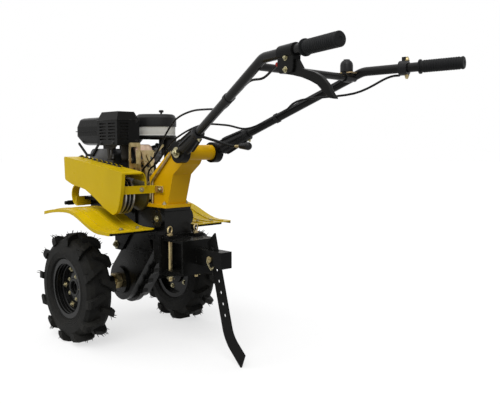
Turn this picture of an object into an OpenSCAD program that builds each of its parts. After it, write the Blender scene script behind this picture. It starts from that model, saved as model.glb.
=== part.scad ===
// Two-wheel walking tractor with a petrol engine, belt drive, drag bar and adjustable handlebar.
// +X forward, +Y left, +Z up. The pieces are laid out from the wheel axle, then the origin is
// moved to the ground under the middle of the whole machine.

/* [Wheels] */
// Radius over the lugs
tyre_r = 210; // [190:1:230]
// Width of the tyre over the lug shoulders
tyre_w = 114; // [100:1:124]
// Distance from the middle of the machine to the middle of a wheel
track_half = 250; // [244:1:280]
// Lugs on each side of a tyre
lug_count = 12; // [9:1:14]
// Height of a lug over the carcass
lug_h = 20; // [12:1:24]
// Thickness of a lug at the middle of the tread
lug_w = 20; // [14:1:24]
// Sweep of a lug from the middle of the tread to the shoulder
lug_sweep = 34; // [20:1:44]
// Radius of the rim's bead seat
bead_r = 101; // [95:1:106]
// Height of the rim's flange over the bead seat
rim_flange_h = 14; // [9:0.5:18]
// Distance between the rim's two flanges
rim_w = 84; // [74:1:92]
// Sheet thickness of the rim
rim_wall = 4; // [3:0.5:6]
// Distance of the rim's disc inboard of the wheel's middle
disc_inset = 16; // [8:1:22]

/* [Axle] */
// Radius of the axle journal
axle_r = 15; // [12:0.5:18]
// Radius of the hub sleeve
hub_r = 24; // [21:0.5:28]
// Radius of the hub's bolting flange
hub_flange_r = 52; // [46:1:60]
// Thickness of the hub's bolting flange
hub_flange_t = 8; // [6:0.5:12]
// Width over the corners of the golden hexagon collar
collar_r = 33; // [30:1:36]
// Length of the hexagon collar
collar_l = 26; // [18:1:32]

/* [Gearbox] */
// Half width of the gearbox casting
case_half = 60; // [54:1:66]
// Radius of the casting round the axle
leg_r = 82; // [74:1:88]
// Radius of the casting at the top of its leg
leg_top_r = 74; // [66:1:82]
// Distance of the leg's top behind the axle
leg_back = 200; // [180:1:215]
// Height of the leg's top over the axle
leg_rise = 226; // [216:1:228]
// Width of the bolted seam between the casting's halves
seam_w = 24; // [18:1:30]
// Height of the seam over the casting
seam_h = 13; // [9:0.5:16]
// Length of the upper gearbox
box_len = 190; // [180:1:198]
// Height of the upper gearbox
box_h = 125; // [115:1:132]
// Distance of the upper gearbox's front behind the axle
box_front = 130; // [120:1:140]

/* [Belt drive] */
// Height of the crankshaft over the engine bed
crank_rise = 106; // [102:1:112]
// Distance of the crankshaft ahead of the axle
crank_x = 88; // [80:1:96]
// Radius of the engine pulley
small_pulley_r = 42; // [36:1:48]
// Radius of the gearbox pulley
big_pulley_r = 70; // [62:1:72]
// Width of both pulleys
pulley_w = 40; // [36:1:44]
// Radius of the gearbox input shaft
input_r = 12; // [10:0.5:15]
// Radius of the crankshaft's end
crank_r = 10; // [9:0.5:12]
// Width of a belt
belt_w = 10; // [8:0.5:12]
// Depth of a belt
belt_h = 8; // [6:0.5:9]

/* [Belt cover] */
// Length of the belt cover
cover_len = 431; // [415:1:450]
// Height of the belt cover
cover_h = 212; // [205:1:225]
// Depth of the belt cover across the machine
cover_w = 85; // [80:1:92]
// Sheet thickness of the belt cover
cover_wall = 3; // [2:0.5:4]

/* [Fenders] */
// Length of a fender
fender_len = 522; // [490:1:540]
// Width of a fender
fender_w = 192; // [170:1:205]
// Sheet thickness of a fender
fender_t = 3; // [2:0.5:4]
// Height of a fender's rear edge over the ground
fender_z = 450; // [444:1:458]
// Rise of a fender from its rear to its crown
fender_rise = 60; // [50:1:70]
// Drop of a fender from its crown to its front
fender_dip = 24; // [15:1:35]

/* [Engine] */
// Height of the engine bed over the ground
bed_z = 545; // [542:1:560]
// Length of the crankcase
crankcase_len = 186; // [176:1:192]
// Height of the crankcase
crankcase_h = 198; // [190:1:202]
// Half width of the crankcase
crankcase_half = 78; // [74:1:80]
// Lean of the cylinder over the horizontal, in degrees
cylinder_lean = 20; // [16:1:22]
// Half width of the cylinder's fins
fin_half = 46; // [42:1:48]
// Number of cylinder fins
fin_count = 7; // [5:1:7]
// Thickness of a fin
fin_t = 3; // [2:0.5:4]
// Length of the fuel tank
tank_len = 240; // [225:1:246]
// Width of the fuel tank
tank_w = 216; // [200:1:224]
// Height of the fuel tank
tank_h = 116; // [104:1:120]
// Length of the silencer guard
guard_len = 146; // [136:1:150]
// Width of the silencer guard
guard_w = 100; // [94:1:104]
// Height of the silencer guard
guard_h = 130; // [122:1:134]
// Radius of the air cleaner's lid
cleaner_r = 60; // [54:1:64]

/* [Column] */
// Distance of the handlebar's cross tube behind the axle
cross_back = 440; // [430:1:450]
// Height of the cross tube over the ground
cross_z = 730; // [720:1:740]
// Radius of the cross tube
cross_r = 27; // [24:1:30]
// Half length of the cross tube
cross_half = 60; // [56:1:66]
// Thickness of the column's side plates
column_t = 8; // [6:0.5:10]
// Half width of the column over its plates
column_half = 42; // [38:1:46]

/* [Handlebar] */
// Radius of the handlebar tubes
bar_r = 14; // [12:0.5:16]
// Run of a tube from the cross tube back to its bend
bar_run = 552; // [530:1:570]
// Rise of a tube from the cross tube to its bend
bar_rise = 254; // [240:1:265]
// Distance of the bend from the middle of the machine
bend_half = 221; // [210:1:235]
// Run of the tube from its bend back to its end
hand_run = 304; // [290:1:315]
// Distance of a tube's end from the middle of the machine
end_half = 284; // [274:1:296]
// Radius of a grip
grip_r = 18.5; // [17:0.5:21]
// Length of a grip
grip_l = 128; // [118:1:135]
// Radius of the brace between the tubes
brace_r = 11; // [9:0.5:13]

/* [Hitch and drag bar] */
// Distance of the hitch pins behind the axle
hitch_back = 350; // [346:1:356]
// Distance of a hitch pin from the middle of the machine
hitch_half = 60; // [56:1:66]
// Radius of a hitch pin
hitch_pin_r = 7; // [6:0.5:9]
// Width of the drag bar
drag_w = 50; // [46:1:54]
// Thickness of the drag bar
drag_t = 12; // [10:0.5:14]
// Length of the drag bar's straight part
drag_l = 365; // [355:1:380]
// Lean of the drag bar, in degrees
drag_lean = 15; // [13:1:17]
// Radius of the holes along the drag bar
drag_hole_r = 6.5; // [5:0.5:8]
// Distance between the holes along the drag bar
drag_pitch = 40; // [36:1:42]
// Distance of the drag bar's bend behind the axle
drag_back = 605; // [598:1:612]

/* [Hidden] */
$fn = 48;
hull_fn = 32;
// Overrun of a cut past the face that it opens
over = 5;
// Gap between curved faces that run in or seat on each other
fit = 0.3;
// Swell of a bent bar's bends over its straight stretches
weld = 0.1;
// Running gap between a moving piece and what stands beside it
run_gap = 1;

// Colours
yellow = [0.70, 0.60, 0.02];
orange_yellow = [0.72, 0.55, 0.02];
black = [0.09, 0.09, 0.085];
grey = [0.20, 0.20, 0.19];
steel = [0.55, 0.55, 0.53];
gold = [0.62, 0.50, 0.22];
rubber = [0.07, 0.07, 0.07];
pale = [0.75, 0.75, 0.72];

// Places that several pieces share
axle_z = tyre_r;
bend_r = 70;
clamp_t = 30;
clamp_y = cross_half + fit + clamp_t / 2;
bumper_r = 8;
bumper_x = 268;
cross_at = [-cross_back, 0, cross_z];
bar_foot = cross_at + [0, clamp_y, 0];
bar_bend = cross_at + [-bar_run, bend_half, bar_rise];
hand_rise = 5;
bar_end = bar_bend + [-hand_run, end_half - bend_half, hand_rise];
hand_dir = unit(bar_end - bar_bend);
bar_dir = unit(bar_bend - bar_foot);
grip_cap = 4;
grip_groove = 2;
rear_x = bar_end[0] - grip_cap * abs(hand_dir[0]) - (grip_r - grip_groove) * sqrt(1 - pow(hand_dir[0], 2));
tank_x = 46;
seam_out = 7;
front_x = max(bumper_x + bumper_r, tank_x + tank_len + seam_out);
middle_x = (rear_x + front_x) / 2;
crank_z = bed_z + crank_rise;
input_x = -163;
input_z = 570;
pulley_y = 150;
cover_y1 = pulley_y + pulley_w / 2 + 30;
cover_y0 = cover_y1 - cover_w;
cover_rear = -259;
cover_low = 500;
box_z = 400;
box_top = box_z + box_h;
box_rear = -box_front - box_len;

// Helpers
function unit(v) = v / norm(v);
function mix(a, b, s) = a + (b - a) * s;
function lay(shares, long, high) = [for (s = shares) [s[0] * long, s[1] * high]];
function ease(s) = let (t = min(max(s, 0), 1)) t * t * (3 - 2 * t);
function bezier(a, b, c, s) = mix(mix(a, b, s), mix(b, c, s), s);
function soft(pts, reach, n = 4) = let (m = len(pts)) [for (i = [0:m - 1])
  let (p = pts[i], a = pts[(i + m - 1) % m], b = pts[(i + 1) % m])
  for (k = [0:n]) bezier(p + reach * unit(a - p), p, p + reach * unit(b - p), k / n)];
function left_of(u) = [-u[1], u[0]];
function meet(p, u, q, w) = p + u * (left_of(w) * (q - p)) / (left_of(w) * u);
// Outline with each edge moved inward by d, for points that run anticlockwise
function inset(pts, d) = let (m = len(pts)) [for (i = [0:m - 1])
  let (p = pts[i], u = unit(p - pts[(i + m - 1) % m]), w = unit(pts[(i + 1) % m] - p))
  abs(cross(u, w)) < 0.001 ? p + d * left_of(u)
  : meet(p + d * left_of(u), u, p + d * left_of(w), w)];

module place() { translate([-middle_x, 0, 0]) children(); }
// Side profile in X and Z, from one depth to another across the machine
module slab(y0, y1) { translate([0, y1, 0]) rotate([90, 0, 0]) linear_extrude(y1 - y0) children(); }
module block(a, b) { translate(a) cube(b - a); }
module pin_y(x, z, r, y0, y1) { translate([x, y1, z]) rotate([90, 0, 0]) cylinder(r = r, h = y1 - y0); }
module rod(a, b, r) {
  d = b - a;
  translate(a) rotate([0, acos(d[2] / norm(d)), atan2(d[1], d[0])]) cylinder(r = r, h = norm(d));
}
module turned_y(x, y, z) { translate([x, y, z]) rotate([-90, 0, 0]) rotate_extrude() children(); }
// Two circles with their common tangents
module link(p, rp, q, rq) {
  d = q - p;
  a = atan2(d[1], d[0]);
  b = acos((rp - rq) / norm(d));
  function on(c, r, t) = c + r * [cos(t), sin(t)];
  translate(p) circle(rp);
  translate(q) circle(rq);
  polygon([on(p, rp, a - b), on(q, rq, a - b), on(q, rq, a + b), on(p, rp, a + b)]);
}
module round_rect(w, h, r) {
  square([w - 2 * r, h], center = true);
  square([w, h - 2 * r], center = true);
  for (x = [-1, 1], y = [-1, 1]) translate([x * (w / 2 - r), y * (h / 2 - r)]) circle(r);
}
// Tangent length of a bend at corner b
function bend_reach(a, b, c, bend) = bend * tan(acos(unit(b - a) * unit(c - b)) / 2);
module bend_arc(a, b, c, r, bend) {
  u = unit(b - a);
  n = unit(cross(u, unit(c - b)));
  x = -cross(n, u);
  o = b - u * bend_reach(a, b, c, bend) - bend * x;
  multmatrix([for (i = [0:2]) [x[i], u[i], n[i], o[i]]])
    rotate_extrude(angle = acos(u * unit(c - b))) translate([bend, 0]) circle(r + weld);
}
// Round bar along points, with every corner bent to one radius
module bent_rod(pts, r, bend) {
  m = len(pts);
  function cut(i) = i == 0 || i == m - 1 ? 0 : bend_reach(pts[i - 1], pts[i], pts[i + 1], bend);
  for (i = [0:m - 2]) {
    u = unit(pts[i + 1] - pts[i]);
    rod(pts[i] + u * (i == 0 ? 0 : cut(i) - run_gap),
      pts[i + 1] - u * (i == m - 2 ? 0 : cut(i + 1) - run_gap), r);
  }
  for (i = [1:1:m - 2]) bend_arc(pts[i - 1], pts[i], pts[i + 1], r, bend);
}
// Smooth route through hand-chosen points
function spline(p, i, s) = let (m = len(p), a = p[max(i - 1, 0)], b = p[i], c = p[i + 1],
  d = p[min(i + 2, m - 1)])
  b + (c - a) / 2 * s + (a - 2.5 * b + 2 * c - d / 2) * s * s + (1.5 * (b - c) + (d - a) / 2) * s * s * s;
function route(p, n) = [for (i = [0:len(p) - 2], k = [0:n - 1]) spline(p, i, k / n), p[len(p) - 1]];
module cable(pts, r, n, sides = 10) {
  q = route(pts, n);
  m = len(q);
  rings = [for (i = [0:m - 1])
    let (t = unit(q[min(i + 1, m - 1)] - q[max(i - 1, 0)]), s = unit(cross(t, [0.13, 0.9, 0.4])), w = cross(s, t))
    for (k = [0:sides - 1]) q[i] + r * (cos(360 * k / sides) * s + sin(360 * k / sides) * w)];
  walls = [for (i = [0:m - 2], k = [0:sides - 1]) let (a = i * sides, b = a + sides, j = (k + 1) % sides)
    [a + k, b + k, b + j, a + j]];
  polyhedron(rings, concat([[for (k = [0:sides - 1]) k]], walls,
    [[for (k = [sides - 1:-1:0]) (m - 1) * sides + k]]), convexity = 6);
}

// Gearbox casting: slanted leg round the axle, upper box, bolted seam and bosses
leg_top = [-leg_back, axle_z + leg_rise];
leg_wall_half = case_half - 10;
lug_at = [2, 358];
lug_boss_r = 20;
hitch_face = box_rear;
selector_r = 34;
seam_bolt_r = 8;
seam_bolts = 5;
top_lip = 12;
module gearbox_case() place() color(black) difference() {
  union() {
    slab(-leg_wall_half, leg_wall_half) link([0, axle_z], leg_r, leg_top, leg_top_r);
    slab(-seam_w / 2, seam_w / 2) link([0, axle_z], leg_r + seam_h, leg_top, leg_top_r + seam_h);
    pin_y(0, axle_z, leg_r - 2 * seam_h, -case_half, case_half);
    slab(-case_half, case_half) {
      translate([box_rear + box_len / 2, box_z + box_h / 2]) round_rect(box_len, box_h, seam_w);
      translate(lug_at) circle(lug_boss_r);
      polygon([lug_at + [0, lug_boss_r], lug_at - [0, lug_boss_r], leg_top - [leg_top_r / 2, leg_top_r],
        leg_top]);
    }
    block([box_rear, -case_half, box_top - top_lip], [box_rear + 2 * leg_top_r, case_half, box_top]);
    block([hitch_face, -hitch_half, box_z - leg_r], [hitch_face + leg_top_r, hitch_half, box_z + top_lip]);
    pin_y(box_rear + selector_r, box_top - selector_r - top_lip / 2, selector_r, -case_half - seam_h,
      case_half + seam_h);
    seam_side = atan2(leg_rise, -leg_back) + 90;
    for (i = [0:seam_bolts - 1]) let (s = (i + 0.5) / seam_bolts,
        c = mix([0, axle_z], leg_top, s), r = mix(leg_r, leg_top_r, s) + seam_h / 2,
        e = c + r * [cos(seam_side), sin(seam_side)])
      pin_y(e[0], e[1], seam_bolt_r + seam_h / 2, -seam_w / 2, seam_w / 2);
  }
  for (y = [-1, 1]) pin_y(0, axle_z, axle_r + fit, min(y * seam_w, y * (case_half + over)),
    max(y * seam_w, y * (case_half + over)));
  pin_y(lug_at[0], lug_at[1], lug_boss_r / 2.5, -case_half - over, case_half + over);
}

// Input bearing housing: cone between the casting and the gearbox pulley, with the input shaft
housing_r = 62;
housing_l = 44;
module input_housing() place() color([0.24, 0.22, 0.10]) turned_y(input_x, case_half, input_z) polygon([
  [0, 0], [housing_r, 0], [housing_r, housing_l / 4], [housing_r * 0.62, housing_l * 0.8],
  [input_r * 1.8, housing_l], [input_r, housing_l], [input_r, pulley_y + pulley_w / 2 - case_half + fit],
  [0, pulley_y + pulley_w / 2 - case_half + fit]]);

// Engine bed: plate with two cheeks bolted to the casting's sides
bed_t = 14;
cheek_t = 8;
bed_half = 96;
bed_rear = -137;
bed_front = 200;
cheek_shares = [[0, 1], [1, 1], [1, 0.83], [0.62, 0.66], [0.44, 0.34], [0.437, 0], [0.30, 0], [0.08, 0.42],
  [0, 0.62]];
module engine_bed() place() color(black) difference() {
  union() {
    block([bed_rear, -bed_half, bed_z - bed_t], [bed_front, bed_half, bed_z]);
    for (y = [-case_half - cheek_t, case_half]) translate([bed_rear, 0, lug_at[1] - lug_boss_r])
      slab(y, y + cheek_t)
        polygon(lay(cheek_shares, bed_front - bed_rear, bed_z - bed_t - lug_at[1] + lug_boss_r));
  }
  // Round notch for the input housing
  pin_y(input_x, input_z, housing_r + run_gap, case_half, bed_half + over);
}

// Front bracket of the fenders: cross strip with a curled end over each fender
curl_r = 45;
curl_t = 6;
curl_w = 32;
curl_half = 134;
curl_at = [bed_front - 4, bed_z + 6];
module fender_front_bracket() place() color(yellow) {
  block([bed_front, -curl_half, curl_at[1] - curl_r], [bed_front + curl_t, curl_half, bed_z]);
  for (y = [-curl_half, curl_half - curl_w]) slab(y, y + curl_w) translate(curl_at) intersection() {
    difference() {
      circle(curl_r);
      circle(curl_r - curl_t);
    }
    polygon([[0, 0], 2 * curl_r * [cos(-100), sin(-100)], 2 * curl_r * [1, -1], 2 * curl_r * [1, 1],
      2 * curl_r * [cos(80), sin(80)]]);
  }
}

// Front bumper: cross bar on two flat arms
bumper_half = 150;
arm_half = 70;
arm_w = 26;
bumper_z = curl_at[1] - curl_r + bumper_r;
module front_bumper() place() color(black) {
  pin_y(bumper_x, bumper_z, bumper_r, -bumper_half, bumper_half);
  for (y = [-1, 1]) {
    block([bed_front + curl_t, y * arm_half - arm_w / 2, bumper_z - curl_t / 2],
      [bumper_x, y * arm_half + arm_w / 2, bumper_z + curl_t / 2]);
    pin_y(bumper_x, bumper_z, bumper_r + 2, y * (bumper_half - arm_w) - arm_w / 2 + fit,
      y * (bumper_half - arm_w) + arm_w / 2);
  }
}

// Fenders: pressed sheet with a flat rear, a rise over the wheel and a dipped front
fender_rear = -315;
fender_in = 92;
fender_steps = 18;
fender_lip = 9;
fender_corner = 26;
rib_h = 5;
rib_w = 14;
rib_shares = [0.22, 0.5, 0.78];
flat_share = 0.16;
crown_share = 0.6;
function fender_line(s) = fender_z + fender_rise * ease((s - flat_share) / (crown_share - flat_share))
  - fender_dip * pow(max(0, (s - crown_share) / (1 - crown_share)), 2);
function fender_run(a, b, lift) = [for (i = [0:fender_steps]) let (s = mix(a, b, i / fender_steps))
  [fender_rear + s * fender_len, fender_line(s) + lift]];
function back(p) = [for (i = [len(p) - 1:-1:0]) p[i]];
module fender_strip(a, b, low, high) { polygon(concat(fender_run(a, b, low), back(fender_run(a, b, high)))); }
module fender() {
  intersection() {
    union() {
      slab(fender_in, fender_in + fender_w) fender_strip(0, 1, 0, fender_t);
      slab(fender_in + fender_w - fender_t, fender_in + fender_w) fender_strip(0, 1, -fender_lip, fender_t);
      for (s = rib_shares) slab(fender_in + s * fender_w - rib_w / 2, fender_in + s * fender_w + rib_w / 2)
        fender_strip(0.04, 0.94, fender_t / 2, rib_h + fender_t / 2);
    }
    translate([fender_rear + fender_len / 2, fender_in + fender_w / 2, fender_z / 2])
      linear_extrude(fender_z) round_rect(fender_len, fender_w, fender_corner);
  }
}
module fender_left() place() color(yellow) fender();
module fender_right() place() color(yellow) mirror([0, 1, 0]) fender();

// Rear fender brackets: flat bars from the casting's sides under each fender's rear
bracket_x = -272;
bracket_w = 30;
bracket_t = 14;
module fender_rear_brackets() place() color(black) for (y = [0, 1]) mirror([0, y, 0])
  block([bracket_x, case_half, fender_z - bracket_t],
    [bracket_x + bracket_w, fender_in + fender_w - fender_corner, fender_z]);

// Belt cover: sheet shell over the pulleys, open below, behind and towards the engine
cover_shares = [[0, 0.75], [0.02, 0.448], [0.056, 0.19], [0.088, 0.06], [0.153, 0], [0.297, 0.104],
  [0.445, 0.26], [0.62, 0.406], [0.855, 0.476], [0.99, 0.56], [1, 1]];
cover_soft = 9;
cover_lip = 14;
cover_flange = 22;
vent_count = 9;
vent_l = 26;
vent_w = 9;
module cover_outline(d) {
  polygon(soft(inset(lay(cover_shares, cover_len, cover_h), d), max(cover_soft - d, cover_wall)));
}
module belt_cover() place() color(yellow) translate([cover_rear, 0, cover_low]) difference() {
  slab(cover_y0, cover_y1) cover_outline(0);
  slab(cover_y0 + cover_wall, cover_y1 - cover_wall) cover_outline(cover_wall);
  slab(cover_y0 - over, cover_y0 + 2 * cover_wall) cover_outline(cover_flange);
  // Opening below and behind, short of the lip on the outer plate
  slab(cover_y0 - over, cover_y1 - cover_lip) polygon([[-over, 0.70 * cover_h], [0.90 * cover_len, 0.52 * cover_h],
    [0.90 * cover_len, -over], [-over, -over]]);
  slab(cover_y0 - over, cover_y1 - cover_lip) translate([-over, 0.46 * cover_h])
    square([cover_wall * 2 + over + cover_soft, 0.25 * cover_h]);
  top_slope = atan2(0.25 * cover_h, cover_len);
  for (i = [0:vent_count - 1]) translate([0, cover_y0 + cover_w * 0.34, 0.75 * cover_h])
    rotate([0, -top_slope, 0]) translate([cover_len * (0.2 + 0.66 * i / (vent_count - 1)), 0, 0])
      cube([vent_l, vent_w, 8 * cover_wall], center = true);
}

// Strap: holds the cover's rear edge to the column
strap_h = 30;
strap_t = 4;
strap_z = 577;
strap_x = cover_rear + 24;
module cover_strap() place() color(yellow) {
  block([strap_x - strap_t, column_half, strap_z], [strap_x, cover_y1 - cover_wall, strap_z + strap_h]);
  block([strap_x - strap_t, cover_y1 - cover_wall - strap_t, strap_z],
    [strap_x + strap_h, cover_y1 - cover_wall, strap_z + strap_h]);
  block([strap_x - 2 * strap_h, column_half, strap_z], [strap_x, column_half + strap_t, strap_z + strap_h]);
}

// Column: two shaped plates on a base flange, a front web and the cross tube
base_t = 12;
column_base_z = box_top;
column_shares = [[0.50, 0], [0.98, 0], [0.98, 0.20], [1.02, 0.50], [0.46, 1.00], [0.20, 1.06], [-0.02, 1.00],
  [0.10, 0.78], [0.34, 0.58]];
column_run = 220;
column_rise = cross_z - column_base_z - base_t;
column_x = -cross_back + 16;
module column() place() color(orange_yellow) difference() {
  union() {
    block([box_rear - top_lip / 2, -case_half, column_base_z],
      [box_rear + 2 * leg_top_r, case_half, column_base_z + base_t]);
    for (y = [-column_half, column_half - column_t]) translate([column_x, 0, column_base_z + base_t])
      slab(y, y + column_t) polygon(lay(column_shares, column_run, column_rise));
    // Web folded between the plates along their rear edge
    translate([column_x, 0, column_base_z + base_t]) slab(-column_half, column_half) polygon(lay(
      [[0.50, 0], [0.56, 0], [0.40, 0.60], [0.16, 0.82], [0.05, 1.0], [-0.02, 1.0], [0.10, 0.78], [0.34, 0.58]],
      column_run, column_rise));
    translate([column_x, 0, column_base_z + base_t]) slab(-column_half, column_half) polygon(lay(
      [[0.98, 0.2], [1.02, 0.5], [0.46, 1.00], [0.43, 0.96], [0.97, 0.48], [0.93, 0.2]], column_run, column_rise));
    pin_y(-cross_back, cross_z, cross_r, -cross_half, cross_half);
  }
  pin_y(-cross_back, cross_z, cross_r - column_t / 2, -cross_half - over, cross_half + over);
}

// Crankcase: rounded block on a foot, with the drive-end boss, crankshaft and cover posts
foot_t = 12;
crank_boss_r = 50;
crank_boss_l = 12;
post_r = 8;
post_shares = [[0.93, 0.915], [0.67, 0.85]];
module crankcase() place() color(grey) {
  block([crank_x - crankcase_len / 2 - foot_t, -crankcase_half, bed_z],
    [crank_x + crankcase_len / 2, crankcase_half, bed_z + foot_t]);
  translate([crank_x, 0, bed_z + crankcase_h / 2]) slab(-crankcase_half, crankcase_half)
    round_rect(crankcase_len, crankcase_h, crankcase_len / 5);
  block([crank_x - crankcase_len / 2, -crankcase_half, bed_z],
    [crank_x + crankcase_len / 2, crankcase_half, bed_z + crankcase_h / 2]);
  pin_y(crank_x, crank_z, crank_boss_r, crankcase_half, crankcase_half + crank_boss_l);
  pin_y(crank_x, crank_z, crank_r, crankcase_half, pulley_y + pulley_w / 2 + fit);
  for (s = post_shares) pin_y(cover_rear + s[0] * cover_len, cover_low + s[1] * cover_h, post_r,
    crankcase_half, cover_y0);
}

// Cylinder: finned barrel and head lying back from the crankcase, with a rocker cover
barrel_start = crankcase_len / 2 + 2;
fin_pitch = 8;
barrel_half = fin_half - 12;
head_l = 34;
rocker_l = 26;
rocker_half = fin_half - 8;
module cylinder_axis() { translate([crank_x, 0, crank_z]) rotate([0, -90 + cylinder_lean, 0]) children(); }
module cylinder_barrel() place() color([0.25, 0.26, 0.28]) difference() {
  cylinder_axis() {
    translate([-barrel_half, -barrel_half, crankcase_len / 4])
      cube([2 * barrel_half, 2 * barrel_half, barrel_start + fin_count * fin_pitch - crankcase_len / 4]);
    for (i = [0:fin_count - 1]) translate([0, 0, barrel_start + (i + 0.5) * fin_pitch]) linear_extrude(fin_t)
      round_rect(2 * fin_half, 2 * fin_half, fin_t * 2);
    translate([0, 0, barrel_start + fin_count * fin_pitch]) {
      linear_extrude(head_l) round_rect(2 * fin_half, 2 * fin_half, fin_t * 2);
      translate([0, 0, head_l]) linear_extrude(rocker_l) round_rect(2 * rocker_half, 2 * rocker_half, rocker_half / 3);
    }
  }
  block([crank_x - crankcase_len / 2, -2 * crankcase_half, bed_z - over],
    [crank_x + crankcase_len, 2 * crankcase_half, bed_z + 2 * crankcase_h]);
}

// Silencer: seamed can on a stub over the cylinder head, behind a louvred guard
guard_x = -118;
guard_y = 30;
guard_z = 756;
guard_wall = 2.5;
guard_top = 33;
guard_slope = 14;
can_gap = 8;
stub_r = 15;
can_seam = 3;
port_along = barrel_start + fin_count * fin_pitch + head_l / 2;
stub_x = crank_x - port_along * cos(cylinder_lean);
stub_z = crank_z + port_along * sin(cylinder_lean);
stub_y = fin_half + stub_r + can_gap / 2;
module silencer() place() color([0.16, 0.15, 0.14]) {
    translate([guard_x + guard_len / 2, guard_y + guard_w / 2, guard_z + can_gap]) {
      linear_extrude(guard_h - guard_top - can_gap)
        round_rect(guard_len - 2 * can_gap, guard_w - 2 * can_gap, can_gap * 2);
      translate([0, 0, guard_h / 3]) linear_extrude(can_seam)
        round_rect(guard_len - can_gap, guard_w - can_gap, can_gap * 2);
    }
    pin_y(stub_x, stub_z, stub_r, fin_half, stub_y);
    translate([stub_x, stub_y, stub_z]) sphere(stub_r + weld);
    translate([stub_x, stub_y, stub_z]) cylinder(r = stub_r, h = guard_z + 2 * can_gap - stub_z);
    for (x = [0.2, 0.8]) pin_y(guard_x + x * guard_len, guard_z + guard_h / 4, can_gap / 2,
      guard_y + guard_w - 2 * can_gap, guard_y + guard_w - guard_wall);
}
louvre_count = 6;
louvre_h = 5;
louvre_pitch = 12;
module guard_form(d) {
  hull() {
    translate([d, d, -d]) cube([guard_len - 2 * d, guard_w - 2 * d, guard_h - guard_top]);
    translate([guard_slope + d, guard_slope + d, 0])
      cube([guard_len - 2 * guard_slope - 2 * d, guard_w - 2 * guard_slope - 2 * d, guard_h - d]);
  }
}
module silencer_guard() place() color(black) translate([guard_x, guard_y, guard_z]) difference() {
  guard_form(0);
  guard_form(guard_wall);
  translate([guard_wall, -over, -over]) cube([guard_len - 2 * guard_wall, over + 2 * guard_wall, guard_h * 0.7]);
  for (i = [0:louvre_count - 1]) translate([0, 0, guard_h * 0.16 + i * louvre_pitch]) {
    translate([guard_len * 0.10, guard_w - 2 * guard_wall, 0]) cube([guard_len * 0.34, over * 2, louvre_h]);
    translate([guard_len * 0.54, guard_w - 2 * guard_wall, 0]) cube([guard_len * 0.34, over * 2, louvre_h]);
    translate([-over, guard_w * 0.5, 0]) cube([over * 2, guard_w * 0.38, louvre_h]);
  }
}

// Fuel tank: two pressed halves joined at a seam, on feet over the crankcase, with a filler cap
tank_y = -126;
tank_z = 757;
tank_corner = 34;
tank_taper = 14;
seam_t = 3;
cap_r = 30;
cap_h = 18;
cap_at = [tank_x + tank_len * 0.42, tank_y + tank_w * 0.36];
module tank_half(drop, high) {
  hull() for (x = [-1, 1], y = [-1, 1]) {
    translate([x * (tank_len / 2 - tank_corner), y * (tank_w / 2 - tank_corner), 0])
      cylinder(r = tank_corner, h = abs(high) / 3, $fn = hull_fn);
    translate([x * (tank_len / 2 - tank_corner - drop), y * (tank_w / 2 - tank_corner - drop),
      abs(high) - tank_corner / 2]) scale([1, 1, 0.5]) sphere(tank_corner, $fn = hull_fn);
  }
}
module fuel_tank() place() color(black) translate([tank_x + tank_len / 2, tank_y + tank_w / 2, tank_z + tank_h / 2]) {
  tank_half(tank_taper / 2, tank_h / 2);
  mirror([0, 0, 1]) tank_half(tank_taper, tank_h / 2);
  translate([0, 0, -seam_t / 2]) linear_extrude(seam_t)
    round_rect(tank_len + 2 * seam_out, tank_w + 2 * seam_out, tank_corner + seam_out);
  // Feet on the crankcase's top
  for (y = [-1, 1]) translate([crank_x - tank_x - tank_len / 2, y * crankcase_half / 2 - tank_y - tank_w / 2, 0])
    mirror([0, 0, 1]) linear_extrude(tank_z + tank_h / 2 - bed_z - crankcase_h) square([60, 24], center = true);
}
module tank_cap() place() color(black) translate([cap_at[0], cap_at[1], tank_z + tank_h]) {
  cylinder(r = cap_r * 0.8, h = cap_h / 2);
  translate([0, 0, cap_h / 3]) cylinder(r = cap_r, h = cap_h * 0.6);
  for (i = [0:11]) rotate([0, 0, 30 * i]) translate([cap_r, 0, cap_h / 3]) cylinder(r = cap_h / 9, h = cap_h * 0.6);
}

// Air cleaner: lid with a knob, pale band and a base with an oil cup, standing on the carburettor
cleaner_at = [-76, -105];
cleaner_top = 880;
lid_h = 48;
band_h = 36;
cleaner_base_h = 16;
cup_r = 26;
cup_h = 104;
cup_at = [-104, -128];
knob_r = 9;
knob_h = 20;
band_z = cleaner_top - lid_h - band_h;
module cleaner_turn(z) { translate([cleaner_at[0], cleaner_at[1], z]) rotate_extrude() children(); }
module air_cleaner_lid() place() color(black) cleaner_turn(cleaner_top - lid_h) polygon([[0, 0], [cleaner_r, 0],
  [cleaner_r, lid_h * 0.72], [cleaner_r * 0.86, lid_h], [knob_r / 2, lid_h], [knob_r / 2, lid_h + knob_h / 3],
  [knob_r, lid_h + knob_h / 2], [knob_r, lid_h + knob_h], [0, lid_h + knob_h]]);
module air_cleaner_band() place() color(pale) cleaner_turn(band_z) square([cleaner_r * 0.95, band_h]);
module air_cleaner_base() place() color(black) {
  cleaner_turn(band_z - cleaner_base_h) polygon([[0, 0], [cleaner_r * 0.8, 0], [cleaner_r, cleaner_base_h / 2],
    [cleaner_r, cleaner_base_h], [0, cleaner_base_h]]);
  translate([cup_at[0], cup_at[1], band_z - cup_h]) cylinder(r = cup_r, h = cup_h - cleaner_base_h / 2);
  // Elbow down to the carburettor
  translate([carb_at[0], carb_at[1] - carb_w, carb_z]) cylinder(r = elbow_r, h = band_z - cleaner_base_h - carb_z + fit);
  pin_y(carb_at[0], carb_z, elbow_r, carb_at[1] - carb_w, carb_at[1] - carb_w / 2);
}
carb_at = [-84, -67];
carb_w = 36;
carb_z = 728;
carb_bowl_r = 19;
elbow_r = 14;
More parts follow.
